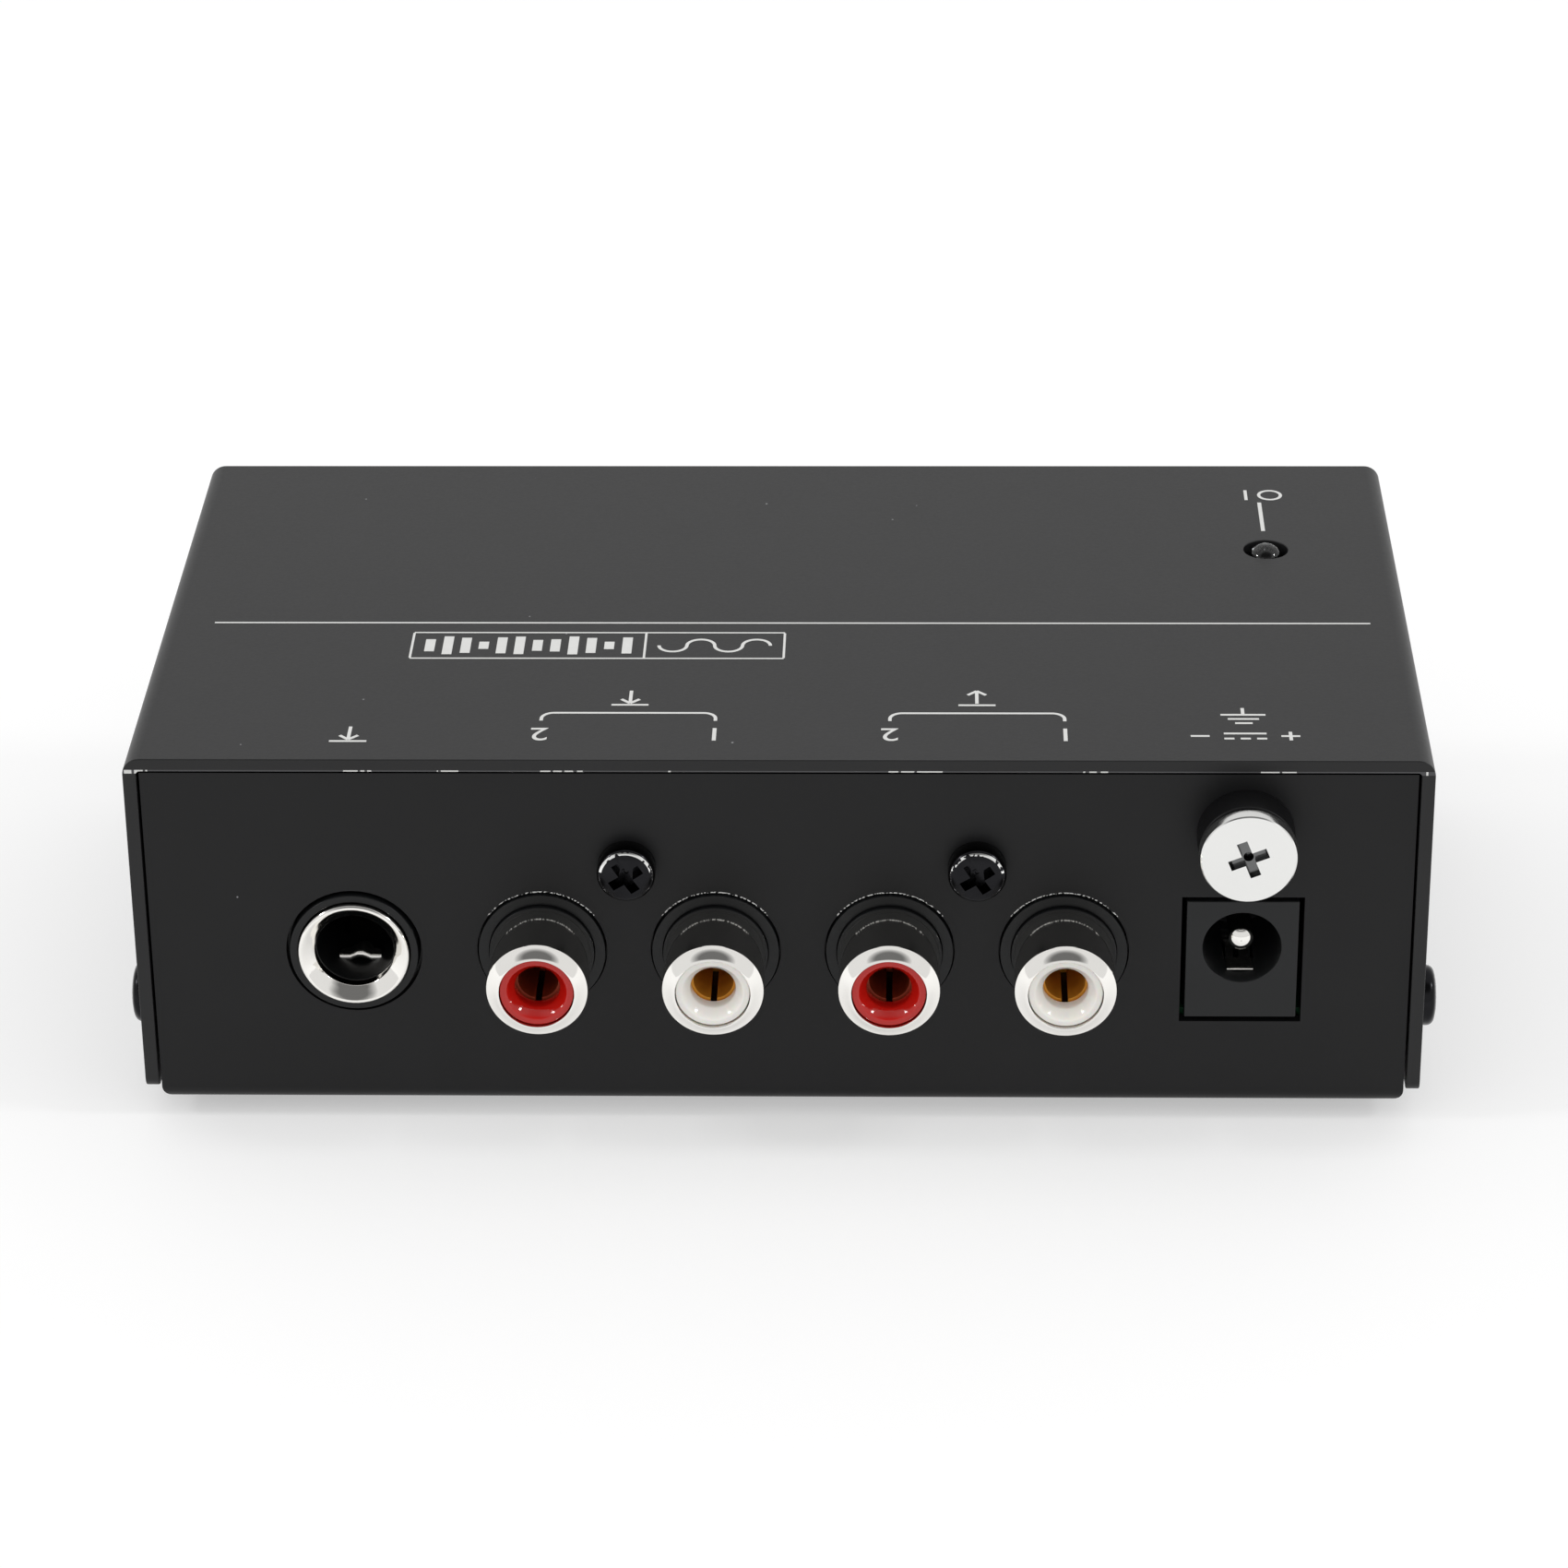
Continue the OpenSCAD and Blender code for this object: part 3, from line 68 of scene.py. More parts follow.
# How near two corners are merged, in a turned mesh and in a copied or cut one
TURNED_WELD, CUT_WELD = 1e-5, 1e-4
# Facets round a large turned piece and a small one, and across the rounding of a broad and a fine edge
ROUND_STEPS, SMALL_STEPS = 96, 64
BROAD, FINE = 3, 2

# A cross recess: how far its cutters stand over the face, how its arms narrow towards their floor, and
# the radii of its point at the tip and over the face, as shares of an arm's width
CUTTER_OVER = 0.3
ARM_TAPER = (0.8, 0.85, 1.0)
POINT_TIP, POINT_TOP, POINT_STEPS = 0.2, 0.72, 16

# Finer layers in a pattern of noise: for clouds, for grain, for long runs and for plain spots
CLOUDY, GRAINY, SMOOTH, PLAIN = 3.0, 2.0, 1.0, 0.0
# The directions that count in a distance or a pattern
ALONG_X, ACROSS_X, ACROSS_Y = (1.0, 0.0, 0.0), (0.0, 1.0, 1.0), (1.0, 0.0, 1.0)

Point = tuple[float, float]
Outline = Sequence[Point]
Colour = tuple[float, float, float, float]
# A mask, and the colour that shows where it is 1
Layer = tuple[NodeSocket, NodeSocket | Colour]


class Body(Enum):
    """The parts that move on their own."""

    CASE = "case"
    WASHER = "earth_washer"
    SCREW = "earth_screw"


class Side(Enum):
    """The two pairs of phono sockets."""

    OUTPUT = "output"
    INPUT = "input"


class Flow(Enum):
    """Which way a signal arrow points along Y: at the sockets, or away from them."""

    OUT = -1
    IN = 1


# ---------------------------------------------------------------- colours and nodes


def linear(code: str) -> Colour:
    """Turns an sRGB hex colour into linear values.

    Args:
        code: Six hex digits after a hash sign.

    Returns:
        Linear red, green, blue and full opacity.
    """
    shares = [int(code[k : k + 2], 16) / 255 for k in (1, 3, 5)]
    curve = [c / 12.92 if c <= 0.04045 else ((c + 0.055) / 1.055) ** 2.4 for c in shares]
    return (curve[0], curve[1], curve[2], 1.0)


def add_node(
    tree: NodeTree,
    kind: str,
    inputs: Mapping[str | int, object] | None = None,
    **settings: object,
) -> Node:
    """Adds one shader node with its settings and links.

    Args:
        tree: The node tree that gets the node.
        kind: The node's type, without the leading "ShaderNode".
        inputs: A value, or a socket to link from, for each input by name or number.
        settings: The node's own properties.

    Returns:
        The new node.
    """
    node = tree.nodes.new(f"ShaderNode{kind}")
    for name, value in settings.items():
        setattr(node, name, value)
    for name, value in (inputs or {}).items():
        if isinstance(value, NodeSocket):
            tree.links.new(value, node.inputs[name])
        else:
            node.inputs[name].default_value = value
    return node


def overlap(tree: NodeTree, first: Node, *others: Node) -> NodeSocket:
    """Finds where several masks lie over each other.

    Args:
        tree: The node tree that holds the masks.
        first: A node whose first output is 1 in its mask and 0 outside it.
        others: More such nodes.

    Returns:
        The socket that is 1 where every mask is 1.
    """
    share = first.outputs[0]
    for mask in others:
        share = add_node(tree, "Math", {0: share, 1: mask.outputs[0]}, operation="MULTIPLY").outputs[0]
    return share


def distance(tree: NodeTree, where: NodeSocket, directions: Sequence[float]) -> NodeSocket:
    """Measures how far a place is from a finish's centre.

    Args:
        tree: The material's nodes.
        where: The place, measured from the centre.
        directions: 1 for each axis that counts, 0 for the others.

    Returns:
        The distance's socket.
    """
    part = add_node(tree, "VectorMath", {0: where, 1: directions}, operation="MULTIPLY")
    return add_node(tree, "VectorMath", {0: part.outputs[0]}, operation="LENGTH").outputs["Value"]


# ---------------------------------------------------------------- finishes

_made: dict[str, Material] = {}


@dataclass(frozen=True)
class Finish:
    """A surface: what it is made of, how it was made, and what that gives the eye.

    Two colours drift into each other over `drift` millimetres, and a grain of `grain` millimetres
    raises the surface by `relief` millimetres and spreads its roughness. Light that enters the
    material spreads over `bleed` millimetres.
    """

    name: str
    colour: str
    tint: str
    roughness: float
    spread: float = 0.04
    drift: float = 6.0
    grain: float = 0.25
    relief: float = 0.004
    metallic: float = 0.0
    ior: float = 1.5
    coat: float = 0.0
    transmission: float = 0.0
    subsurface: float = 0.0
    bleed: float = 0.4
    centre: tuple[float, float, float] = (0.0, 0.0, 0.0)

    def material(self) -> Material:
        """Makes the material, the first time it is asked for.

        Returns:
            This finish's material.
        """
        if self.name not in _made:
            material = bpy.data.materials.new(self.name)
            material.use_nodes = True
            material.node_tree.nodes.clear()
            self.shade(material.node_tree)
            _made[self.name] = material
        return _made[self.name]

    def place(self, tree: NodeTree) -> NodeSocket:
        """Measures places on a piece.

        Args:
            tree: The material's nodes.

        Returns:
            Object coordinates in millimetres, from the finish's centre.
        """
        coords = add_node(tree, "TexCoord").outputs["Object"]
        shift = tuple(-c for c in self.centre)
        scaled = add_node(tree, "Mapping", {"Vector": coords, "Scale": (1 / MM,) * 3, "Location": shift})
        return scaled.outputs["Vector"]

    def colours(self, tree: NodeTree, where: NodeSocket) -> NodeSocket:
        """Mixes the two colours in soft clouds, and lays the finish's own layers over them.

        Args:
            tree: The material's nodes.
            where: Place on the piece, in millimetres.

        Returns:
            The colour's socket.
        """
        clouds = add_node(tree, "TexNoise", {"Vector": where, "Scale": 1 / self.drift, "Detail": CLOUDY})
        colour = linear(self.colour)
        for share, over in ((clouds.outputs["Fac"], linear(self.tint)), *self.layers(tree, where)):
            colour = add_node(tree, "Mix", {0: share, 6: colour, 7: over}, data_type="RGBA").outputs[2]
        return colour

    def layers(self, tree: NodeTree, where: NodeSocket) -> list[Layer]:
        """Returns what lies over the clouds, from the lowest layer on; here it is nothing."""
        return []

    def height(self, tree: NodeTree, where: NodeSocket) -> NodeSocket:
        """Returns the grain, from 0 in its hollows to 1 on its crests."""
        grain = add_node(tree, "TexNoise", {"Vector": where, "Scale": 1 / self.grain, "Detail": GRAINY})
        return grain.outputs["Fac"]

    def shade(self, tree: NodeTree) -> None:
        """Builds the shader from colour, grain and the finish's constants.

        Args:
            tree: The material's empty node tree.
        """
        where = self.place(tree)
        height = self.height(tree, where)
        low, high = self.roughness - self.spread, self.roughness + self.spread
        gloss = add_node(tree, "MapRange", {"Value": height, "To Min": low, "To Max": high})
        bump = add_node(tree, "Bump", {"Height": height, "Distance": self.relief * MM, "Strength": 1.0})
        surface = add_node(
            tree,
            "BsdfPrincipled",
            {
                "Base Color": self.colours(tree, where),
                "Roughness": gloss.outputs["Result"],
                "Normal": bump.outputs["Normal"],
                "Metallic": self.metallic,
                "IOR": self.ior,
                "Coat Weight": self.coat,
                "Transmission Weight": self.transmission,
                "Subsurface Weight": self.subsurface,
                "Subsurface Scale": self.bleed * MM,
            },
        )
        add_node(tree, "OutputMaterial", {"Surface": surface.outputs["BSDF"]})


@dataclass(frozen=True)
class Metal(Finish):
    """Bare, plated or blackened metal."""

    metallic: float = 1.0


@dataclass(frozen=True)
class PowderCoat(Finish):
    """Baked powder: a matt skin with fine orange peel, and a paler speck here and there."""

    grain: float = 0.3
    relief: float = 0.006
    speck: str = "#8a8a8c"
    speck_r: float = 0.1
    speck_every: float = 5.0

    def layers(self, tree: NodeTree, where: NodeSocket) -> list[Layer]:
        """Lays the specks over the clouds.

        Args:
            tree: The material's nodes.
            where: Place on the piece, in millimetres.

        Returns:
            The layers, from the lowest on.
        """
        cells = add_node(tree, "TexVoronoi", {"Vector": where, "Scale": 1 / self.speck_every})
        near = {0: cells.outputs["Distance"], 1: self.speck_r / self.speck_every}
        spot = add_node(tree, "Math", near, operation="LESS_THAN")
        return [(spot.outputs[0], linear(self.speck))]


@dataclass(frozen=True)
class PaintedEdgeGlints(PowderCoat):
    """Powder with a painted sheen strip and painted glints along one straight cut edge, along X.

    The strip is the part of the surface inside `reach` of the edge's place (`centre`), painted a paler grey.
    The painted glints show in runs, broken by gaps, where a noise of each one's length is above its level.
    """

    # Colours of the painted glints and of the painted sheen strip
    steel: str = "#e6e6e4"
    sheen_strip: str = "#4c4c4e"
    reach: float = 0.16
    run: float = 7.0
    run_level: float = 0.56
    gap: float = 0.45
    gap_level: float = 0.42

    def layers(self, tree: NodeTree, where: NodeSocket) -> list[Layer]:
        """Lays the painted sheen strip and the painted glints over the powder.

        Args:
            tree: The material's nodes.
            where: Place on the piece, in millimetres.

        Returns:
            The layers, from the lowest on.
        """
        far = distance(tree, where, ACROSS_X)
        strip = add_node(tree, "Math", {0: far, 1: self.reach}, operation="LESS_THAN")
        along = add_node(tree, "VectorMath", {0: where, 1: ALONG_X}, operation="MULTIPLY").outputs[0]
        runs = ((self.run, SMOOTH, self.run_level), (self.gap, PLAIN, self.gap_level))
        masks = []
        for length, detail, level in runs:
            noise = add_node(tree, "TexNoise", {"Vector": along, "Scale": 1 / length, "Detail": detail})
            above = {0: noise.outputs["Fac"], 1: level}
            masks.append(add_node(tree, "Math", above, operation="GREATER_THAN"))
        sheen_and_glints = {0: overlap(tree, *masks), 6: linear(self.sheen_strip), 7: linear(self.steel)}
        painted_glints = add_node(tree, "Mix", sheen_and_glints, data_type="RGBA")
        return [*super().layers(tree, where), (strip.outputs[0], painted_glints.outputs[2])]


@dataclass(frozen=True)
class PaintedRingGlints(PowderCoat):
    """A dark skin with painted glints in dots on a row of round edges.

    The row runs along X from `centre`, one ring every `pitch`, on faces less than `deep` behind it.
    Only the part of a ring higher than `above` times its radius gets painted glints, and there the share of
    dots follows from the glints' level.
    """

    # Colour of the painted glints
    steel: str = "#d8d8d6"
    ring_r: float = 5.25
    lip: float = 0.06
    pitch: float = 14.0
    rings: float = 4.0
    gap: float = 0.2
    above: float = 0.6
    glint_level: float = 0.5
    deep: float = 2.0

    def layers(self, tree: NodeTree, where: NodeSocket) -> list[Layer]:
        """Lays the painted glints in dots over the powder.

        Args:
            tree: The material's nodes.
            where: Place on the piece, in millimetres.

        Returns:
            The layers, from the lowest on.
        """
        x, y, z = add_node(tree, "SeparateXYZ", {0: where}).outputs
        half, row_x = self.pitch / 2, self.pitch * (self.rings - 1) / 2
        folded = add_node(tree, "Math", {0: x, 1: -half, 2: half}, operation="WRAP")
        spot = add_node(tree, "CombineXYZ", {"X": folded.outputs[0], "Z": z})
        far = add_node(tree, "VectorMath", {0: spot.outputs[0]}, operation="LENGTH").outputs["Value"]
        dots = add_node(tree, "TexNoise", {"Vector": where, "Scale": 1 / self.gap, "Detail": PLAIN})
        tests = (
            ("COMPARE", {0: far, 1: self.ring_r + self.lip / 2, 2: self.lip}),
            ("GREATER_THAN", {0: z, 1: self.ring_r * self.above}),
            ("COMPARE", {0: x, 1: row_x, 2: row_x + half}),
            ("GREATER_THAN", {0: dots.outputs["Fac"], 1: self.glint_level}),
            ("LESS_THAN", {0: y, 1: self.deep}),
        )
        masks = [add_node(tree, "Math", values, operation=test) for test, values in tests]
        return [*super().layers(tree, where), (overlap(tree, *masks), linear(self.steel))]


@dataclass(frozen=True)
class TurnedMetal(Metal):
    """Metal that was turned on a lathe: faint rings round its axis, which runs along Y.

    Behind the face, at `centre`, and inside `recess_r` lies the punched recess, which is painted darker:
    painted shade.
    """

    ring: float = 0.12
    ring_share: float = 0.35
    # Colour of the painted shade in the cross recess
    recess: str = "#6c6d6d"
    recess_r: float = 1.75
    recess_from: float = 0.03

    def layers(self, tree: NodeTree, where: NodeSocket) -> list[Layer]:
        """Paints shade into the cross recess.

        Args:
            tree: The material's nodes.
            where: Place on the piece, in millimetres.

        Returns:
            The layers, from the lowest on.
        """
        y = add_node(tree, "SeparateXYZ", {0: where}).outputs["Y"]
        far = distance(tree, where, ACROSS_Y)
        inside = add_node(tree, "Math", {0: far, 1: self.recess_r}, operation="LESS_THAN")
        behind = add_node(tree, "Math", {0: y, 1: self.recess_from}, operation="GREATER_THAN")
        return [(overlap(tree, inside, behind), linear(self.recess))]

    def height(self, tree: NodeTree, where: NodeSocket) -> NodeSocket:
        """Lays rings of the tool's feed over the grain.

        Args:
            tree: The material's nodes.
            where: Place on the piece, in millimetres.

        Returns:
            The height's socket.
        """
        grain = super().height(tree, where)
        feed = {0: distance(tree, where, ACROSS_Y), 1: 2 * math.pi / self.ring}
        turns = add_node(tree, "Math", feed, operation="MULTIPLY")
        wave = add_node(tree, "Math", {0: turns.outputs[0]}, operation="SINE")
        mix = add_node(tree, "Mix", {0: self.ring_share, 2: grain, 3: wave.outputs[0]}, data_type="FLOAT")
        return mix.outputs[0]


@dataclass(frozen=True)
class BoardLaminate(Finish):
    """Glass laminate under solder mask: broad tracks show through the green as paler runs."""

    track: str = "#123f26"
    track_pitch: float = 3.2
    track_from: float = 0.32

    def layers(self, tree: NodeTree, where: NodeSocket) -> list[Layer]:
        """Adds tracks that run in straight lanes and turn at right angles.

        Args:
            tree: The material's nodes.
            where: Place on the piece, in millimetres.

        Returns:
            The layers, from the lowest on.
        """
        cell = {"Vector": where, "Scale": 1 / self.track_pitch}
        lanes = add_node(tree, "TexVoronoi", cell, distance="CHEBYCHEV").outputs["Distance"]
        lane = add_node(tree, "Math", {0: lanes, 1: self.track_from}, operation="GREATER_THAN")
        return [(lane.outputs[0], linear(self.track))]


# Polyester powder on folded steel: near black, soft sheen, 0.3 mm orange peel
CASE_POWDER = PowderCoat("powder_coat_black", "#0d0d0e", "#121213", 0.42, ior=1.3)
# The same powder on the cover, painted a shade lighter and with a stronger sheen than on the earth post:
# painted light on its top. Along the lower arris of its cut front edge lie a painted sheen strip and painted
# glints in runs
COVER_POWDER = PaintedEdgeGlints("powder_coat_cover", "#131314", "#181819", 0.42, ior=1.41)
# The same powder on the chassis, painted a shade lighter than on the earth post: painted light on the panel.
# The upper lips of its punched holes carry painted glints in dots
CHASSIS_POWDER = PaintedRingGlints("powder_coat_chassis", "#121213", "#171718", 0.42, ior=1.325)
# Zinc-plated and blackened screws: dark metal with small bright glints on every edge
SCREW_BLACK = Metal("blackened_zinc", "#2b2b2d", "#1d1d1f", 0.2, grain=0.4, relief=0.002, drift=2.0)
# The same on the two panel screws, with painted glints: bright metal in dots on the upper arc of each crown
SCREW_PAINTED_GLINTS = PaintedRingGlints(
    "blackened_zinc_painted_glints", "#2b2b2d", "#1d1d1f", 0.2, metallic=1.0, grain=0.4, relief=0.002, drift=2.0,
    speck_r=0.0, steel="#f0f0ee", lip=0.1, rings=2.0, gap=0.35, above=0.2, glint_level=0.4,
)
# Bright nickel over brass, barrel polished: mirrors the panel behind it
NICKEL = Metal("bright_nickel", "#faf8f4", "#f0eee9", 0.07, spread=0.02, grain=0.5, relief=0.0004)
# The same plating on the jack's springs and the light's leads, dulled by forming and painted darker: painted
# shade
SHADED_SPRING_NICKEL = Metal("nickel_painted_shade", "#4c4a47", "#3c3a38", 0.35, drift=1.5, grain=0.4, relief=0.001)
# The plating of the earth leaf and of the power spring, still bright at the tip
SPRING_BRIGHT = Metal("bright_spring_plate", "#f2f0ec", "#e4e2dd", 0.25, drift=1.5, grain=0.4, relief=0.001)
# Zinc-plated steel screw head: pale, satin, with turning rings drawn 0.3 mm apart so that they show, and
# painted shade in its cross recess
ZINC = TurnedMetal("bright_zinc_turned", "#eaeae8", "#e5e5e3", 0.2, grain=0.3, relief=0.0002, ring=0.3)
# Tinned steel inside the case: dull, a little mottled
TIN = Metal("tinned_steel", "#b9bcbe", "#a3a6a9", 0.35, drift=1.5, relief=0.001)
# Brass strip, as stamped, browned by handling
BRASS = Finish("stamped_brass", "#e8a43a", "#c88424", 0.45, metallic=0.4, drift=1.2, relief=0.001)
# The same strip in the red centres, painted redder and darker: painted red light and painted shade from the
# red plastic round it
RED_SHADED_BRASS = Finish("brass_painted_red_shade", "#a04020", "#7c2c14", 0.45, metallic=0.4, drift=1.2, relief=0.001)
# Injection-moulded glass-filled nylon: black with a slight spark-eroded texture
NYLON_BLACK = Finish("moulded_nylon_black", "#0e0f10", "#141516", 0.34, ior=1.36, grain=0.12, relief=0.002)
# Injection-moulded polyester of the power socket: a shade greyer, flat
POLYESTER_GREY = Finish(
    "moulded_polyester_black", "#1a1b1c", "#1f2021", 0.4, ior=1.36, grain=0.14, relief=0.003
)
# Glossy moulded ABS in signal red and in signal white
ABS_RED = Finish("moulded_abs_red", "#c81b13", "#bd1710", 0.07, grain=0.5, relief=0.0006, subsurface=0.15)
ABS_WHITE = Finish("moulded_abs_white", "#fffcf6", "#fbf7ef", 0.12, grain=0.5, relief=0.0006, subsurface=0.2)
# Clear cast epoxy of the light
EPOXY_CLEAR = Finish(
    "cast_epoxy_clear", "#f4f7f8", "#eef2f4", 0.03, spread=0.01, ior=1.54, transmission=1.0, relief=0.0
)
# Screen ink: a thin pale film, slightly matt
INK = Finish("screen_ink_white", "#dededc", "#d2d2d0", 0.5, drift=1.0, grain=0.08, relief=0.002)
# Moulded rubber of the feet
RUBBER = Finish("moulded_rubber", "#141414", "#1c1c1c", 0.75, grain=0.15, relief=0.006, ior=1.4)
# Glass laminate of the board under its solder mask: satin green with paler tracks
LAMINATE = BoardLaminate("solder_mask_green", "#0a2c19", "#082414", 0.3, relief=0.002, coat=0.3)
# Dipped epoxy of the film capacitors: glossy brick red, a little uneven
FILM_RED = Finish("dipped_epoxy_red", "#9c2a22", "#84211b", 0.25, grain=0.8, relief=0.01)
# Shrunk sleeve of the can capacitors: dark blue with a soft sheen
SLEEVE_BLUE = Finish("shrunk_sleeve_blue", "#20304a", "#1a2840", 0.3, grain=1.2, relief=0.004)
# Baked lacquer of the resistors: tan, half matt
LACQUER_TAN = Finish("baked_lacquer_tan", "#b79c70", "#a58a5e", 0.35, grain=0.6, relief=0.006)
# Sintered ferrite of the choke: dull dark grey, finely rough
FERRITE = Finish("sintered_ferrite", "#2c2a29", "#383533", 0.6, grain=0.2, relief=0.008)
# Transfer-moulded epoxy of the chips: matt black
CHIP_EPOXY = Finish("transfer_moulded_epoxy", "#17171a", "#202023", 0.5, grain=0.1, relief=0.004)


# ---------------------------------------------------------------- meshes


def angles(first: float, last: float, steps: int) -> list[float]:
    """Returns evenly spaced angles in radians, from one angle in degrees to another."""
    return [math.radians(first + (last - first) * k / steps) for k in range(steps + 1)]


def revolve(outline: Outline, steps: int = ROUND_STEPS) -> BMesh:
    """Spins a closed or axis-to-axis half section round Z.

    Args:
        outline: Radius and height of each corner, in millimetres, in order.
        steps: Number of facets round the axis.

    Returns:
        The solid, in millimetres.
    """
    bm = bmesh.new()
    corners = [bm.verts.new((r, 0.0, z)) for r, z in outline]
    edges = [bm.edges.new(pair) for pair in zip(corners, corners[1:])]
    if min(r for r, _ in outline) > 0:
        edges.append(bm.edges.new((corners[-1], corners[0])))
    bmesh.ops.spin(
        bm, geom=corners + edges, cent=(0, 0, 0), axis=(0, 0, 1), angle=2 * math.pi, steps=steps,
        use_merge=True,
    )
    bmesh.ops.remove_doubles(bm, verts=bm.verts, dist=TURNED_WELD)
    bmesh.ops.recalc_face_normals(bm, faces=bm.faces)
    return bm


def tube(inner: float, outer: float, low: float, high: float, steps: int = ROUND_STEPS) -> BMesh:
    """Returns a straight tube round Z, between two heights, in millimetres."""
    return revolve([(inner, low), (outer, low), (outer, high), (inner, high)], steps)


def round_edges(bm: BMesh, radius: float, segments: int = BROAD) -> None:
    """Rounds every sharp edge of a closed mesh.

    Args:
        bm: The mesh, changed in place.
        radius: How far the rounding reaches from the edge, in the mesh's units.
        segments: Facets across the rounding.
    """
    sharp = [e for e in bm.edges if e.is_manifold and e.calc_face_angle() > TOOLED_EDGE]
    bmesh.ops.bevel(
        bm, geom=sharp, offset=radius, affect="EDGES", segments=segments, profile=0.5, material=-1,
        clamp_overlap=True,
    )


def merged(bm: BMesh, radius: float, segments: int) -> BMesh:
    """Merges a copied or cut mesh into clean faces and rounds its edges.

    Args:
        bm: The mesh in millimetres, changed in place.
        radius: Radius of the rounding.
        segments: Facets across the rounding.

    Returns:
        The same mesh.
    """
    bmesh.ops.remove_doubles(bm, verts=bm.verts, dist=CUT_WELD)
    bmesh.ops.dissolve_limit(bm, angle_limit=FLAT, verts=bm.verts, edges=bm.edges)
    round_edges(bm, radius, segments)
    return bm


def softened(node: str, radius: float, segments: int = BROAD) -> BMesh:
    """Copies a node of the frame and gives its edges their real small rounding.

    Args:
        node: The node's name.
        radius: Radius of the rounding in millimetres.
        segments: Facets across the rounding.

    Returns:
        The rounded copy, in millimetres.
    """
    bm = bmesh.new()
    bm.from_mesh(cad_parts[node].data)
    bmesh.ops.scale(bm, vec=(1 / MM,) * 3, verts=bm.verts)
    return merged(bm, radius, segments)


def block(size: Sequence[float], centre: Sequence[float], rounding: float = 0.0) -> BMesh:
    """Makes a box with rounded edges.

    Args:
        size: Lengths along X, Y and Z in millimetres.
        centre: Its middle.
        rounding: Radius of its edges.

    Returns:
        The box, in millimetres.
    """
    bm = bmesh.new()
    bmesh.ops.create_cube(bm, size=1.0)
    bmesh.ops.scale(bm, vec=size, verts=bm.verts)
    bmesh.ops.translate(bm, vec=centre, verts=bm.verts)
    if rounding:
        round_edges(bm, rounding)
    return bm


def joined(parts: Iterable[BMesh]) -> BMesh:
    """Puts several meshes into one.

    Args:
        parts: The meshes; they are freed.

    Returns:
        The mesh that holds them all.
    """
    whole = bmesh.new()
    for part in parts:
        loose = bpy.data.meshes.new("loose")
        part.to_mesh(loose)
        part.free()
        whole.from_mesh(loose)
        bpy.data.meshes.remove(loose)
    return whole


def moved(bm: BMesh, matrix: Matrix) -> BMesh:
    """Turns and shifts a mesh, and returns it."""
    bmesh.ops.transform(bm, matrix=matrix, verts=bm.verts)
    return bm


def add_object(name: str, data: bpy.types.ID) -> Object:
    """Makes an object from its data and puts it into the scene.

    Args:
        name: The object's name.
        data: Its mesh, lamp or camera.

    Returns:
        The object.
    """
    made = bpy.data.objects.new(name, data)
    bpy.context.scene.collection.objects.link(made)
    return made


def carved(bm: BMesh, cutter: BMesh) -> BMesh:
    """Cuts one closed mesh out of another.

    Args:
        bm: The mesh that is cut; it is freed.
        cutter: The mesh that is taken away; it is freed.

    Returns:
        What is left.
    """
    pair = []
    for part in (bm, cutter):
        mesh = bpy.data.meshes.new("carving")
        part.to_mesh(mesh)
        part.free()
        pair.append(add_object("carving", mesh))
    body, tool = pair
    cut = body.modifiers.new("cut", "BOOLEAN")
    cut.object = tool
    cut.operation = "DIFFERENCE"
    cut.solver = "EXACT"
    cut.use_self = True
    left = bmesh.new()
    left.from_object(body, bpy.context.evaluated_depsgraph_get())
    for part in pair:
        mesh = part.data
        bpy.data.objects.remove(part)
        bpy.data.meshes.remove(mesh)
    return left


def crossed(
    head: BMesh, top: float, span: float, arm: float, depth: float, turn: float, arm_share: float = 0.9
) -> BMesh:
    """Cuts a cross recess, whose arms slope down to a deeper point, into a screw head.

    Args:
        head: The head, its axis along Z; it is freed.
        top: Height of the head's face.
        span: Length of each arm pair across the face.
        arm: Width of an arm.
        depth: Depth of the recess at its point.
        turn: How far the cross is turned.
        arm_share: Depth of the arms, as a share of the recess's depth.

    Returns:
        The head with its recess.
    """
    shallow = depth * arm_share
    for quarter in (0, 1):
        cutter = block((span, arm, shallow + CUTTER_OVER), (0, 0, top + (CUTTER_OVER - shallow) / 2))
        floor = [v for v in cutter.verts if v.co.z < top - shallow / 2]
        bmesh.ops.scale(cutter, vec=ARM_TAPER, verts=floor)
        head = carved(head, moved(cutter, Matrix.Rotation(turn + quarter * math.pi / 2, 4, "Z")))
    section = [(0, -depth), (arm * POINT_TIP, -depth), (arm * POINT_TOP, CUTTER_OVER), (0, CUTTER_OVER)]
    point = revolve(section, POINT_STEPS)
    return carved(head, moved(point, Matrix.Translation((0, 0, top))))


def leaf_strip(across: Outline, way: Outline, thickness: float, at: Vector) -> BMesh:
    """Makes a thin metal leaf whose cross section follows a bent way.

    Args:
        across: Place along X and rise of each point of the section.
        way: Place along Y and height of each bend, from the leaf's tip on.
        thickness: Thickness of the metal.
        at: Origin of the leaf, in millimetres.

    Returns:
        The leaf, in millimetres.
    """
    bm = bmesh.new()
    rows = [[bm.verts.new(at + Vector((x, y, z + rise))) for x, rise in across] for y, z in way]
    for near, far in zip(rows, rows[1:]):
        for k in range(len(across) - 1):
            bm.faces.new((near[k], near[k + 1], far[k + 1], far[k]))
    bmesh.ops.recalc_face_normals(bm, faces=bm.faces)
    bmesh.ops.solidify(bm, geom=bm.faces[:], thickness=thickness)
    bmesh.ops.recalc_face_normals(bm, faces=bm.faces)
    return bm


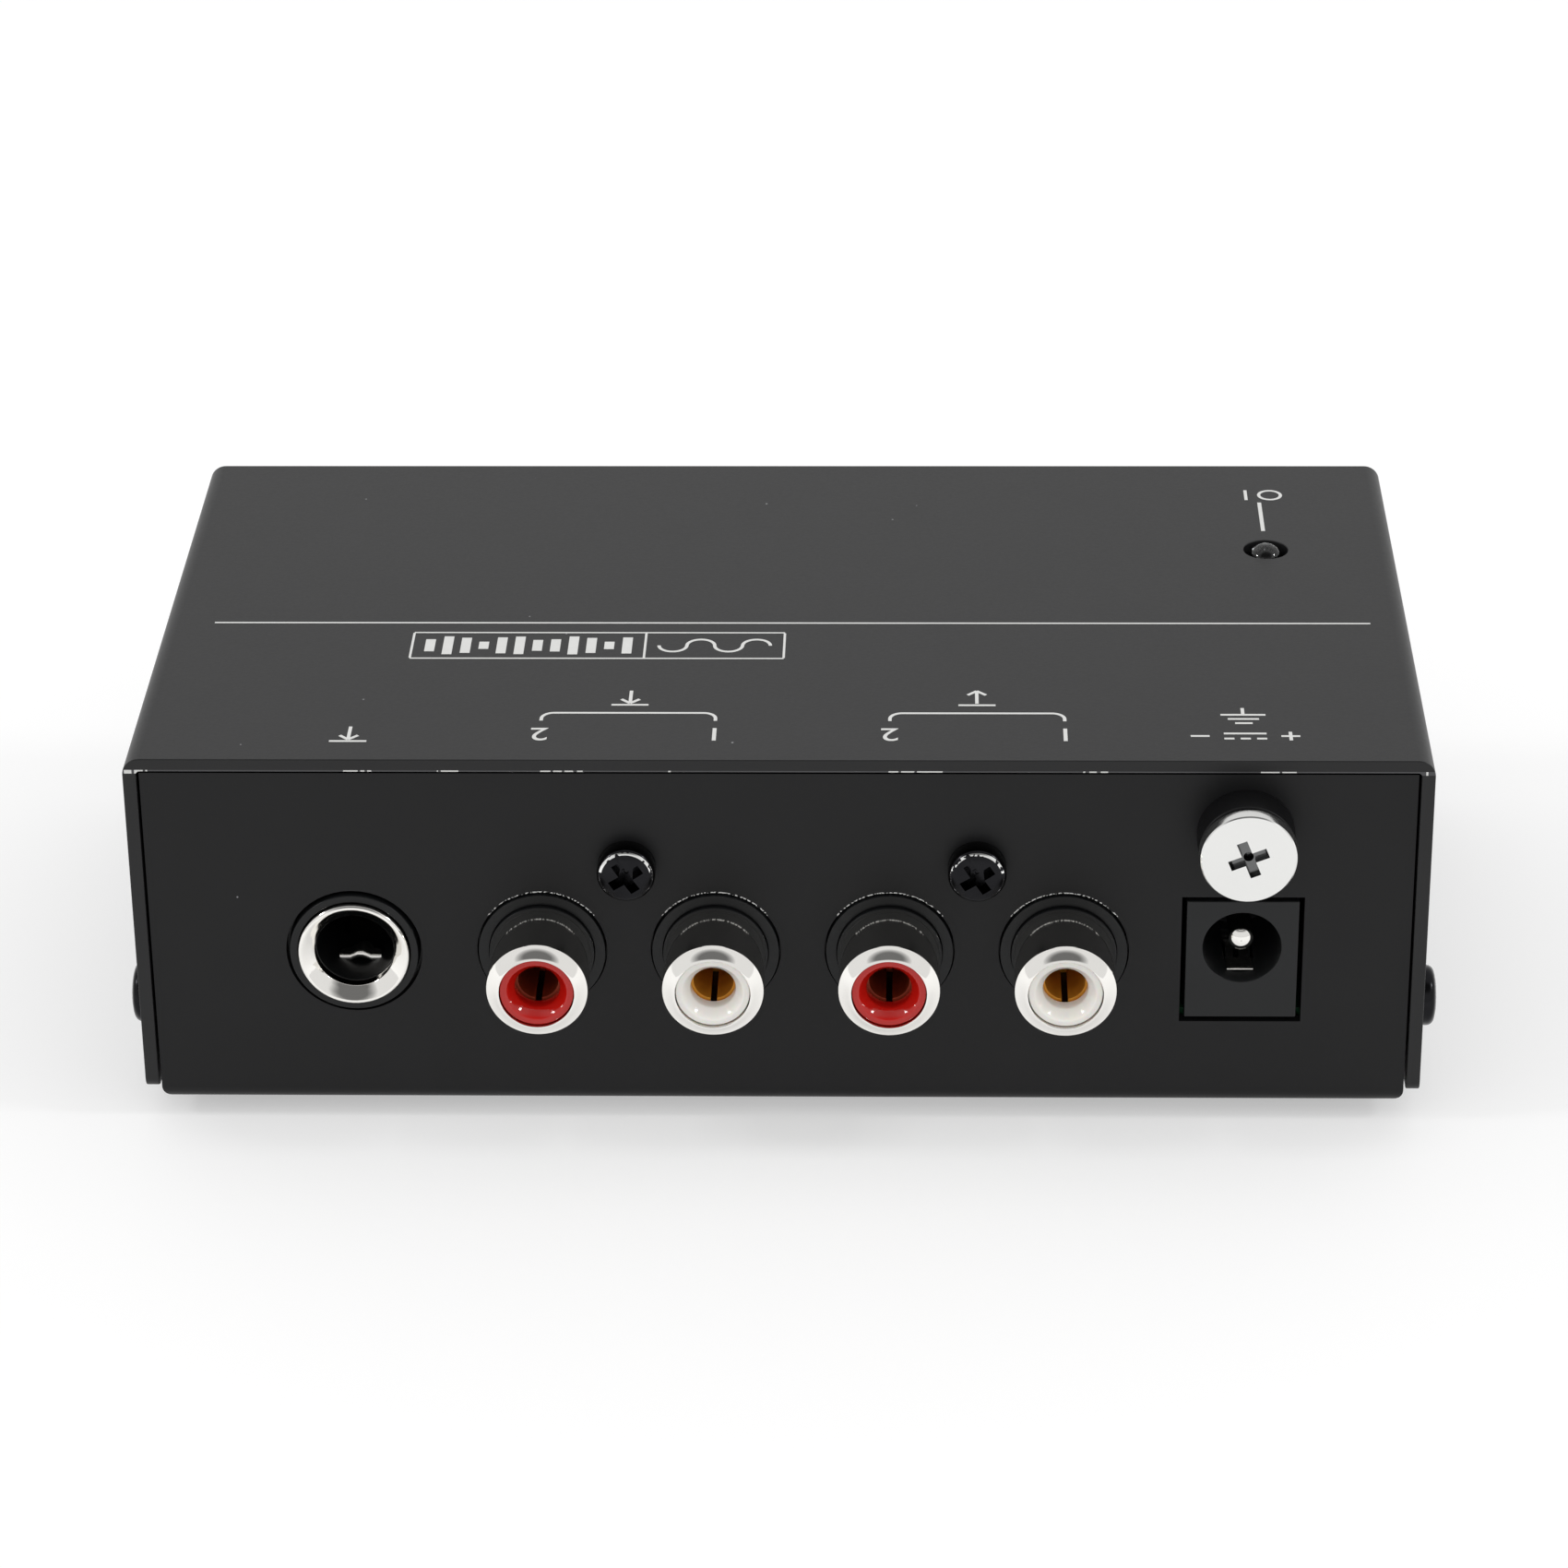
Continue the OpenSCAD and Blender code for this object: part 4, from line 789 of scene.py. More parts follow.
def out_of_panel(x: float, y: float, z: float) -> Matrix:
    """Returns the frame at a place whose Z points out of the socket panel and whose Y points up."""
    return Matrix.Translation((x, y, z)) @ Matrix.Rotation(math.pi / 2, 4, "X")


def box_mm(node: str) -> tuple[Vector, Vector]:
    """Returns a node's lowest and highest corners in millimetres."""
    low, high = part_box(node)
    return low / MM, high / MM


def middle(node: str) -> Vector:
    """Returns the middle of a node's box in millimetres."""
    low, high = box_mm(node)
    return (low + high) / 2


def panel_face() -> float:
    """Returns the place of the socket panel's face along Y, in millimetres."""
    return box_mm("bottom_chassis")[0].y


def add_piece(
    name: str,
    bm: BMesh,
    finish: Finish,
    stands_for: Sequence[str] = (),
    slot: str = "",
    body: Body = Body.CASE,
    sharp: float = SHARP_EDGE,
) -> None:
    """Turns a mesh into a piece of the model.

    Args:
        name: The piece's name.
        bm: Its mesh in millimetres; it is freed.
        finish: Its surface.
        stands_for: The frame's nodes that it replaces.
        slot: The record's material slot; left out, it is the replaced node's. It is worked out but not given
            to the piece.
        body: The part that it moves with.
        sharp: Angle past which shading keeps an edge sharp.
    """
    mesh = bpy.data.meshes.new(name)
    bmesh.ops.scale(bm, vec=(MM,) * 3, verts=bm.verts)
    for face in bm.faces:
        face.smooth = True
    bm.to_mesh(mesh)
    bm.free()
    mesh.set_sharp_from_angle(angle=sharp)
    mesh.materials.append(finish.material())
    piece = add_object(name, mesh)
    shading = piece.modifiers.new("even_shading", "WEIGHTED_NORMAL")
    shading.keep_sharp = True
    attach(piece, body.value)
    if stands_for:
        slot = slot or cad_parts[stands_for[0]].material_slots[0].material.name
        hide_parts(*stands_for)
    LOG.info("%s: %d faces, %s", name, len(mesh.polygons), finish.name)


def soften_node(
    name: str, node: str, radius: float, finish: Finish, segments: int = BROAD, body: Body = Body.CASE
) -> None:
    """Makes the piece that is a node of the frame with rounded edges."""
    add_piece(name, softened(node, radius, segments), finish, [node], body=body)


def dress(node: str, finish: Finish) -> None:
    """Gives a node of the frame its finish.

    Args:
        node: The node's name.
        finish: Its surface.
    """
    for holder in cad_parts[node].material_slots:
        holder.material = finish.material()
    LOG.info("%s: dressed, %s", node, finish.name)


# ---------------------------------------------------------------- fasteners


@dataclass(frozen=True)
class CrossHeadScrew:
    """Pan-head screw with a tapered cross recess; its head stands on z = 0.

    The head's shoulder is round up to `shoulder` degrees. Over it the crown is `crown_ratio` times lower
    than the head, and passes through `crown`: how far out, and how far down, as shares of both sizes.
    """

    head_d: float
    head_h: float
    shank_d: float
    length: float
    rounding: float
    span: float
    arm: float
    depth: float
    turn: float = 0.0
    arris: float = 0.05
    shoulder: float = 80.0
    shoulder_steps: int = 5
    crown_ratio: float = 12.0
    crown: tuple[Point, ...] = ((0.62, 0.35), (0.4, 0.0))

    def head(self) -> BMesh:
        """Makes the head and shank as one turned solid.

        Returns:
            The solid, in millimetres.
        """
        r, shank_r, crown_h = self.head_d / 2, self.shank_d / 2, self.head_h / self.crown_ratio
        edge = self.head_h - crown_h
        outline = [
            (0, -self.length),
            (shank_r, -self.length),
            (shank_r, 0),
            (r, 0),
            *(
                (r - self.rounding * (1 - math.cos(a)), edge - self.rounding * (1 - math.sin(a)))
                for a in angles(0, self.shoulder, self.shoulder_steps)
            ),
            *((r * out, self.head_h - crown_h * down) for out, down in self.crown),
            (0, self.head_h),
        ]
        return revolve(outline, SMALL_STEPS)

    def build(self) -> BMesh:
        """Returns the whole screw with its recess and rounded edges."""
        screw = crossed(self.head(), self.head_h, self.span, self.arm, self.depth, self.turn)
        return merged(screw, self.arris, FINE)


# ---------------------------------------------------------------- sub-assemblies


@dataclass(frozen=True)
class SteelCase:
    """Folded cover and chassis, their four screws and the stick-on feet."""

    sheet_t: float = 1.1
    coat_r: float = 0.18
    hole_r: float = 0.1
    screw_span: float = 3.0
    screw_arm: float = 0.85
    screw_depth: float = 1.3
    screw_round: float = 0.35
    screw_turn: float = 0.7
    shank_d: float = 3.0
    shank_l: float = 4.0
    foot_rounding: float = 0.25

    def build(self) -> None:
        """Builds the case's pieces."""
        low, high = box_mm("top_cover")
        # The cover's copy of the powder, with a painted sheen strip and painted glints on its lower front
        # edge
        cover = replace(COVER_POWDER, centre=(0.0, low.y, high.z - self.sheet_t))
        first = middle("rca_shell_output_right")
        # The chassis's copy of the powder, with painted glints on the upper lips of the sockets' holes
        chassis = replace(CHASSIS_POWDER, centre=(first.x, panel_face(), first.z))
        soften_node("cover", "top_cover", self.coat_r, cover)
        soften_node("chassis", "bottom_chassis", self.hole_r, chassis, FINE)
        add_piece("side_screws", self.screws(), SCREW_BLACK, ["case_screws"])
        soften_node("feet", "rubber_feet", self.foot_rounding, RUBBER)

    def screws(self) -> BMesh:
        """Makes the side screws; the cross of each one stands a little further round.

        Returns:
            The four screws in one mesh.
        """
        low, high = box_mm("case_screws")
        cover_low, cover_high = box_mm("top_cover")
        head_h, head_d = high.x - cover_high.x, high.z - low.z
        made = []
        for side, x in ((-1, cover_low.x), (1, cover_high.x)):
            for y in (low.y + head_d / 2, high.y - head_d / 2):
                screw = CrossHeadScrew(
                    head_d, head_h, self.shank_d, self.shank_l, head_h * self.screw_round, self.screw_span,
                    self.screw_arm, self.screw_depth, self.screw_turn * len(made),
                )
                at = Matrix.Translation((x, y, (low.z + high.z) / 2))
                made.append(moved(screw.build(), at @ Matrix.Rotation(side * math.pi / 2, 4, "Y")))
        return joined(made)


@dataclass(frozen=True)
class ScreenPrint:
    """Pale ink on the cover: a long rule, brackets over the sockets, and plain signs and numerals.

    Each `..._back` is measured from the cover's front edge, each `..._behind` from the light, and each
    `..._weight` is a share of the line's width. The signs are read from the side with no sockets.
    """

    film: float = 0.02
    lap: float = 0.2
    line: float = 0.28
    rule_weight: float = 0.8
    leader_weight: float = 1.2
    plate_weight: float = 0.7
    arc_least: int = 4
    arc_steps: float = 8.0

    rule_back: float = 25.3
    rule_from: float = -47.6
    rule_to: float = 48.7
    leader_behind: float = 6.8
    leader_l: float = 6.0
    switch_behind: float = 11.4
    switch_ring: Point = (1.0, 0.95)
    switch_bar: Point = (-1.1, 2.1)
    bracket_back: float = 8.4
    bracket_corner: float = 1.0
    bracket_stem: float = 0.4

    plate_back: Point = (18.5, 23.4)
    plate_x: tuple[float, float, float] = (-30.7, -11.4, 0.1)
    levels: int = 12
    level_w: float = 0.55
    level_low: float = 0.25
    level_swing: float = 0.45
    level_pace: float = 0.9
    level_phase: float = 0.5
    waves: int = 4

    sign_h: float = 2.3
    sign_turn: float = math.pi
    numeral_back: float = 4.7
    numeral_size: float = 1.4
    flow_back: float = 11.3
    barb: float = 0.45
    barb_bar: float = 1.3
    earth_back: float = 8.2
    earth_bars: tuple[float, float, float] = (3.6, 2.5, 1.4)
    earth_pitch: float = 0.75
    earth_stem: float = 1.2
    current_back: float = 4.4
    current_w: float = 3.4
    current_gap: float = 0.45
    dash_w: float = 0.8
    dash_pitch: float = 1.3
    pole_out: float = 3.6
    pole_w: float = 1.5

    def build(self) -> None:
        """Builds every printed mark as a film on the cover."""
        marks = [*self.rules(), *self.brackets(), *self.numerals(), *self.signs(), *self.plate()]
        add_piece("cover_print", joined(marks), INK, slot="white_nylon")

    def top(self) -> tuple[float, float]:
        """Returns the height of the cover's top and the place of its front edge."""
        low, high = box_mm("top_cover")
        return high.z, low.y

    def pair(self, side: Side) -> tuple[float, float]:
        """Returns where a side's right and left sockets stand across the case."""
        return tuple(middle(f"rca_shell_{side.value}_{channel}").x for channel in ("right", "left"))

    def thickness(self, layer: int) -> float:
        """Returns the thickness of a film that lies over so many others, where marks cross."""
        return self.film * (1 + self.lap * layer)

    def bar(self, x: float, y: float, w: float, d: float, layer: int = 0) -> BMesh:
        """Makes one straight mark.

        Args:
            x: Its middle across the case.
            y: Its middle, measured back from the cover's front edge.
            w: Its width across the case.
            d: Its depth.
            layer: How many films it lies over.

        Returns:
            The mark's film.
        """
        z, front = self.top()
        film = self.thickness(layer)
        return block((w, d, film), (x, front + y, z + film / 2))

    def arc(self, x: float, y: float, r: float, start: float, sweep: float) -> BMesh:
        """Makes a mark along part of a circle.

        Args:
            x: The circle's middle across the case.
            y: The circle's middle, measured back from the front edge.
            r: Its radius to the middle of the line.
            start: Angle of its first end, from +X.
            sweep: Angle that it covers.

        Returns:
            The mark's film.
        """
        z, front = self.top()
        bm = bmesh.new()
        made = bmesh.ops.create_grid(bm, x_segments=1, y_segments=1, size=0.5)["verts"]
        bmesh.ops.scale(bm, vec=(self.line, self.film, 1), verts=made)
        bmesh.ops.rotate(bm, matrix=Matrix.Rotation(math.pi / 2, 3, "X"), verts=made)
        bmesh.ops.translate(bm, vec=(r, 0, 0), verts=made)
        bmesh.ops.rotate(bm, matrix=Matrix.Rotation(start, 3, "Z"), verts=made)
        bmesh.ops.spin(
            bm, geom=bm.verts[:] + bm.edges[:] + bm.faces[:], cent=(0, 0, 0), axis=(0, 0, 1), angle=sweep,
            steps=max(self.arc_least, round(abs(sweep) * self.arc_steps)),
            use_merge=math.isclose(sweep, 2 * math.pi),
        )
        bmesh.ops.recalc_face_normals(bm, faces=bm.faces)
        return moved(bm, Matrix.Translation((x, front + y, z + self.film / 2)))

    def rules(self) -> list[BMesh]:
        """Makes the long rule and the short leader behind the light.

        Returns:
            The marks' films.
        """
        light = middle("power_led")
        mid, length = (self.rule_to + self.rule_from) / 2, self.rule_to - self.rule_from
        leader_y = light.y - self.top()[1] + self.leader_behind
        return [
            self.bar(mid, self.rule_back, length, self.line * self.rule_weight),
            self.bar(light.x, leader_y, self.line * self.leader_weight, self.leader_l),
        ]

    def brackets(self) -> list[BMesh]:
        """Makes one round-cornered bracket over each pair of phono sockets.

        Returns:
            The marks' films.
        """
        marks = []
        back, corner, stem = self.bracket_back, self.bracket_corner, self.bracket_stem
        for side in Side:
            left, right = self.pair(side)
            marks += [
                self.bar((left + right) / 2, back, right - left - 2 * corner, self.line),
                self.arc(left + corner, back - corner, corner, math.pi / 2, math.pi / 2),
                self.arc(right - corner, back - corner, corner, math.pi / 2, -math.pi / 2),
                *(self.bar(x, back - corner - stem / 2, self.line, stem) for x in (left, right)),
            ]
        return marks

    def plate(self) -> list[BMesh]:
        """Makes a framed plate with a row of level bars and a plain wave.

        Returns:
            The marks' films.
        """
        near, far = self.plate_back
        left, split, right = self.plate_x
        mid, line = (near + far) / 2, self.line * self.plate_weight
        marks = [self.bar((left + right) / 2, y, right - left, line) for y in (near, far)]
        marks += [self.bar(x, mid, line, far - near - line) for x in self.plate_x]
        pitch = (split - left) / (self.levels + 1)
        for k in range(self.levels):
            swing = abs(math.sin(self.level_pace * k + self.level_phase))
            height = (far - near) * (self.level_low + self.level_swing * swing)
            marks.append(self.bar(left + pitch * (k + 1), mid, pitch * self.level_w, height))
        r = (right - split) / (2 * self.waves + 2)
        for k in range(self.waves):
            start = 0.0 if k % 2 else math.pi
            marks.append(self.arc(split + r * (2 * k + 2), mid, r, start, math.pi))
        return marks

    def numerals(self) -> list[BMesh]:
        """Returns the channels' plain numerals."""
        places = ((sign, x) for side in Side for sign, x in zip("12", reversed(self.pair(side))))
        return [self.numeral(sign, x, self.numeral_back) for sign, x in places]

    def numeral(self, sign: str, x: float, y: float) -> BMesh:
        """Makes one numeral.

        Args:
            sign: The digit.
            x: Its middle across the case.
            y: Its middle, measured back from the front edge.

        Returns:
            The numeral's film.
        """
        z, front = self.top()
        curve = bpy.data.curves.new("numeral", "FONT")
        curve.body = sign
        curve.size = self.sign_h * self.numeral_size
        curve.extrude = self.film / 2
        curve.align_x = "CENTER"
        curve.align_y = "CENTER"
        holder = bpy.data.objects.new("numeral", curve)
        mesh = bpy.data.meshes.new_from_object(holder)
        bm = bmesh.new()
        bm.from_mesh(mesh)
        bpy.data.objects.remove(holder)
        bpy.data.curves.remove(curve)
        bpy.data.meshes.remove(mesh)
        turn = Matrix.Rotation(self.sign_turn, 4, "Z")
        return moved(bm, Matrix.Translation((x, front + y, z + self.film / 2)) @ turn)

    def signs(self) -> list[BMesh]:
        """Makes the plain signs: arrows, earth, direct current, and the light's ring and bar.

        Returns:
            The marks' films.
        """
        marks = []
        for x, back, flow in (
            (sum(self.pair(Side.OUTPUT)) / 2, self.flow_back, Flow.OUT),
            (sum(self.pair(Side.INPUT)) / 2, self.flow_back, Flow.IN),
            (middle("phone_jack_ferrule").x, self.numeral_back, Flow.OUT),
        ):
            marks += self.arrow(x, back, flow)
        power = middle("dc_jack_housing").x
        marks += [*self.earth_sign(power, self.earth_back), *self.current_sign(power, self.current_back)]
        light = middle("power_led")
        switch = light.y - self.top()[1] + self.switch_behind
        ring_x, ring_r = self.switch_ring
        bar_x, bar_l = self.switch_bar
        marks.append(self.arc(light.x + ring_x, switch, ring_r, 0.0, 2 * math.pi))
        marks.append(self.bar(light.x + bar_x, switch, self.line, bar_l))
        return marks

    def arrow(self, x: float, y: float, flow: Flow) -> list[BMesh]:
        """Makes an arrow on a short line.

        Args:
            x: Its middle across the case.
            y: Its middle, measured back from the front edge.
            flow: Which way it points.

        Returns:
            The marks' films.
        """
        way = flow.value
        z, front = self.top()
        tip, barb = self.sign_h / 2, self.sign_h * self.barb
        reach = barb * math.sqrt(0.5) / 2
        barb_y = front + y + way * (tip - reach)
        marks = [self.bar(x, y, self.line, self.sign_h)]
        for layer, side in ((1, -1), (2, 1)):
            film = self.thickness(layer)
            spot = Matrix.Translation((x + side * reach, barb_y, z + film / 2))
            turn = Matrix.Rotation(-way * side * math.pi / 4, 4, "Z")
            marks.append(moved(block((barb, self.line, film), (0, 0, 0)), spot @ turn))
        marks.append(self.bar(x, y - tip - self.line, self.sign_h * self.barb_bar, self.line))
        return marks

    def earth_sign(self, x: float, y: float) -> list[BMesh]:
        """Returns the earth sign at a place: a stem on three bars that get shorter."""
        bars = [self.bar(x, y - self.earth_pitch * k, w, self.line) for k, w in enumerate(self.earth_bars)]
        return [*bars, self.bar(x, y + self.earth_stem / 2, self.line, self.earth_stem, layer=1)]

    def current_sign(self, x: float, y: float) -> list[BMesh]:
        """Makes the direct-current sign, a full line over three dashes, between a plus and a minus.

        Args:
            x: Its middle across the case.
            y: Its middle, measured back from the front edge.

        Returns:
            The marks' films.
        """
        gap, pole, plus = self.current_gap, self.pole_w, x + self.pole_out
        return [
            self.bar(x, y + gap, self.current_w, self.line),
            self.bar(x - self.pole_out, y, pole, self.line),
            *(self.bar(x + k * self.dash_pitch, y - gap, self.dash_w, self.line) for k in (-1, 0, 1)),
            self.bar(plus, y, pole, self.line),
            self.bar(plus, y, self.line, pole, layer=1),
        ]


@dataclass(frozen=True)
class PhonoSockets:
    """Two twin housings with four plated sockets, their contacts and the two panel screws."""

    housing_rounding: float = 0.12
    barrel_r: float = 4.05
    wall: float = 0.5
    rim_w: float = 1.05
    rim_l: float = 1.5
    rim_corner: float = 0.02
    rim_slopes: tuple[float, float, float] = (0.48, 0.93, 0.33)
    rim_turn: float = 0.76
    rim_steps: int = 7
    root_out: float = 0.7
    root_r: float = 4.225
    root_bevel: float = 0.04
    flange_t: float = 0.5
    core_rounding: float = 0.12
    core_segments: int = 4
    contact_rounding: float = 0.05
    # A black sheet round each contact, painted shade that shows through its slits: its radius, thickness,
    # length and facets
    shade_sheet_r: float = 2.04
    shade_sheet_t: float = 0.03
    shade_sheet_l: float = 5.5
    shade_sheet_steps: int = 48
    shank_d: float = 2.9
    screw_span: float = 3.0
    screw_arm: float = 0.85
    screw_depth: float = 1.4
    screw_round: float = 0.3
    screw_turn: float = math.radians(33)
    crown_in: float = 0.33

    def build(self) -> None:
        """Builds both housings and every socket in them."""
        for side in Side:
            node = f"rca_{side.value}_housing"
            soften_node(f"phono_{side.value}_housing", node, self.housing_rounding, NYLON_BLACK, FINE)
            # The red centres' contacts carry painted red light and painted shade
            for channel, finish, brass in (("right", ABS_RED, RED_SHADED_BRASS), ("left", ABS_WHITE, BRASS)):
                self.socket(f"{side.value}_{channel}", finish, brass)
        low, high = box_mm("rca_panel_screws")
        head_r = (high.z - low.z) / 2
        pitch = high.x - low.x - 2 * head_r
        first = (low.x + head_r, low.y, low.z + head_r)
        # Painted glints in dots on the upper arc of each screw's crown
        painted_glints = replace(SCREW_PAINTED_GLINTS, centre=first, pitch=pitch, ring_r=head_r - self.crown_in)
        add_piece("panel_screws", self.screws(), painted_glints, ["rca_panel_screws"])

    def socket(self, which: str, colour: Finish, brass: Finish) -> None:
        """Builds one socket.

        Args:
            which: The end of its nodes' names.
            colour: The finish of its moulded centre.
            brass: The finish of its contact.
        """
        shell, core = f"rca_shell_{which}", f"rca_insulator_{which}"
        add_piece(f"shell_{which}", self.shell(shell), NICKEL, [shell], sharp=TURNED_EDGE)
        add_piece(f"shell_root_{which}", self.root(shell), NYLON_BLACK, slot="socket_plastic")
        soften_node(f"centre_{which}", core, self.core_rounding, colour, self.core_segments)
        soften_node(f"contact_{which}", f"rca_contact_{which}", self.contact_rounding, brass, FINE)
        # A black sheet round the contact: painted shade in its slits
        add_piece(f"contact_shade_sheet_{which}", self.shade_sheet(which), NYLON_BLACK, slot="socket_plastic")
        dress(f"rca_ground_tab_{which}", TIN)

    def shell(self, node: str) -> BMesh:
        """Spins a shell: its tapered rim with a rolled lip, its barrel and its foot flange.

        Args:
            node: The shell's node.

        Returns:
            The shell, in millimetres.
        """
        low, high = box_mm(node)
        mid = (low + high) / 2
        front, flange_r = high.y - low.y, (high.x - low.x) / 2
        bore, inner = self.barrel_r - self.wall, self.barrel_r - self.rim_w
        outline = [
            (bore, 0.0),
            (flange_r, 0.0),
            (flange_r, self.flange_t),
            (self.barrel_r, self.flange_t),
            *((self.barrel_r - inward, front - back) for inward, back in self.rim()),
            (inner, front - self.rim_l),
            (bore, front - self.rim_l),
        ]
        return moved(revolve(outline), out_of_panel(mid.x, high.y, mid.z))

    def rim(self) -> list[Point]:
        """Works out the rim's section, from the barrel's corner to its crest.

        The rim steepens in one parabola and flattens in another.

        Returns:
            How far in from the barrel, and how far behind the rim's front, each corner is.
        """
        start, turn, end = self.rim_corner, self.rim_turn, self.rim_w - self.rim_corner
        steep = self.rim_slopes
        spans = ((start, turn, steep[0], steep[1]), (turn, end, steep[1], steep[2]))
        back = sum((to - at) * (first + last) / 2 for at, to, first, last in spans)
        points = [(0.0, back + 3 * self.rim_corner), (start, back)]
        for at, to, first, last in spans:
            for k in range(1, self.rim_steps + 1):
                share = k / self.rim_steps
                fall = (to - at) * (first * share + (last - first) * share**2 / 2)
                points.append((at + (to - at) * share, back - fall))
            back = points[-1][1]
        return [*points, (self.rim_w, self.rim_corner)]

    def root(self, node: str) -> BMesh:
        """Makes the moulded ring that grips a shell where it leaves the panel.

        Args:
            node: The shell's node.

        Returns:
            The ring, in millimetres.
        """
        mid = middle(node)
        inner = self.barrel_r - self.wall / 2
        outline = [
            (inner, -self.flange_t),
            (self.root_r, -self.flange_t),
            (self.root_r, self.root_out - self.root_bevel),
            (self.root_r - self.root_bevel, self.root_out),
            (inner, self.root_out),
        ]
        return moved(revolve(outline), out_of_panel(mid.x, panel_face(), mid.z))

    def shade_sheet(self, which: str) -> BMesh:
        """Makes a black sheet round a socket's contact: painted shade, which shows through its slits.

        Args:
            which: The end of the socket's nodes' names.

        Returns:
            The sleeve, in millimetres.
        """
        axis = middle(f"rca_shell_{which}")
        front = box_mm(f"rca_contact_{which}")[0].y
        sleeve = tube(self.shade_sheet_r - self.shade_sheet_t, self.shade_sheet_r, 0, self.shade_sheet_l, self.shade_sheet_steps)
        return moved(sleeve, out_of_panel(axis.x, front + self.shade_sheet_l, axis.z))

    def screws(self) -> BMesh:
        """Makes the two pan-head screws between the sockets.

        Returns:
            Both screws in one mesh.
        """
        low, high = box_mm("rca_panel_screws")
        panel = panel_face()
        head_d, head_h = high.z - low.z, panel - low.y
        screw = CrossHeadScrew(
            head_d, head_h, self.shank_d, high.y - panel, head_h * self.screw_round, self.screw_span,
            self.screw_arm, self.screw_depth, self.screw_turn,
        )
        return joined(
            moved(screw.build(), out_of_panel(x, panel, (low.z + high.z) / 2))
            for x in (low.x + head_d / 2, high.x - head_d / 2)
        )


@dataclass(frozen=True)
class PhoneJack:
    """Panel jack for a 6.35 mm plug: moulded body and bushing, plated ferrule, springs and earth leaf.

    The leaf curls between two angles at its tip, and `rib_curve` gives its rib's shape from one flank
    to the crest, as shares of the rib's half width and of its height.
    """

    body_rounding: float = 0.12
    ferrule_rounding: float = 0.08
    spring_rounding: float = 0.06
    bore_r: float = 3.2
    sleeve_t: float = 0.04
    sleeve_from: float = 0.9
    leaf_w: float = 3.4
    leaf_t: float = 0.12
    leaf_drop: float = 2.4
    leaf_front: float = 3.8
    leaf_back: float = 7.6
    curl_r: float = 0.4
    curl_from: float = -40.0
    curl_to: float = 90.0
    curl_steps: int = 8
    rib_w: float = 1.7
    rib_h: float = 0.32
    rib_curve: tuple[Point, ...] = ((0.6, 0.6), (0.25, 1.0))

    def build(self) -> None:
        """Builds the jack's pieces."""
        soften_node("jack_body", "phone_jack_housing", self.body_rounding, NYLON_BLACK, FINE)
        soften_node("jack_ferrule", "phone_jack_ferrule", self.ferrule_rounding, NICKEL)
        # The springs carry painted shade, deep in the bore
        for spring in ("tip", "ring"):
            node = f"phone_jack_{spring}_spring"
            soften_node(f"jack_{spring}_spring", node, self.spring_rounding, SHADED_SPRING_NICKEL, FINE)
        add_piece("jack_sleeve", self.sleeve(), NYLON_BLACK, slot="socket_plastic")
        add_piece("jack_earth_leaf", self.leaf(), SPRING_BRIGHT, slot="spring_alloy")

    def axis(self) -> Vector:
        """Returns a point on the jack's axis; the ferrule's leg hangs below its ring."""
        low, high = box_mm("phone_jack_ferrule")
        return Vector(((low.x + high.x) / 2, low.y, high.z - (high.x - low.x) / 2))

    def sleeve(self) -> BMesh:
        """Makes a black sheet that lines the ferrule's bore behind its mouth, so that the bore shows dark.

        Returns:
            The lining, in millimetres.
        """
        mid, panel = self.axis(), panel_face()
        back = box_mm("phone_jack_ferrule")[1].y - panel
        lining = tube(self.bore_r - self.sleeve_t, self.bore_r, -back, -self.sleeve_from)
        return moved(lining, out_of_panel(mid.x, panel, mid.z))

    def leaf(self) -> BMesh:
        """Makes the ribbed leaf that rises from the ferrule's floor and curls down at its tip.

        Returns:
            The leaf, in millimetres.
        """
        mid, roll = self.axis(), self.curl_r
        half, rib = self.leaf_w / 2, self.rib_w / 2
        across = [(-half, 0.0), (-rib, 0.0)]
        across += [(-rib * out, self.rib_h * rise) for out, rise in self.rib_curve]
        across += [(-x, z) for x, z in reversed(across)]
        way = [
            (self.leaf_front + roll * (1 - math.cos(a)), -self.leaf_drop - roll * (1 - math.sin(a)))
            for a in angles(self.curl_from, self.curl_to, self.curl_steps)
        ]
        way.append((self.leaf_back, -self.bore_r - self.rib_h))
        return leaf_strip(across, way, self.leaf_t, Vector((mid.x, panel_face(), mid.z)))


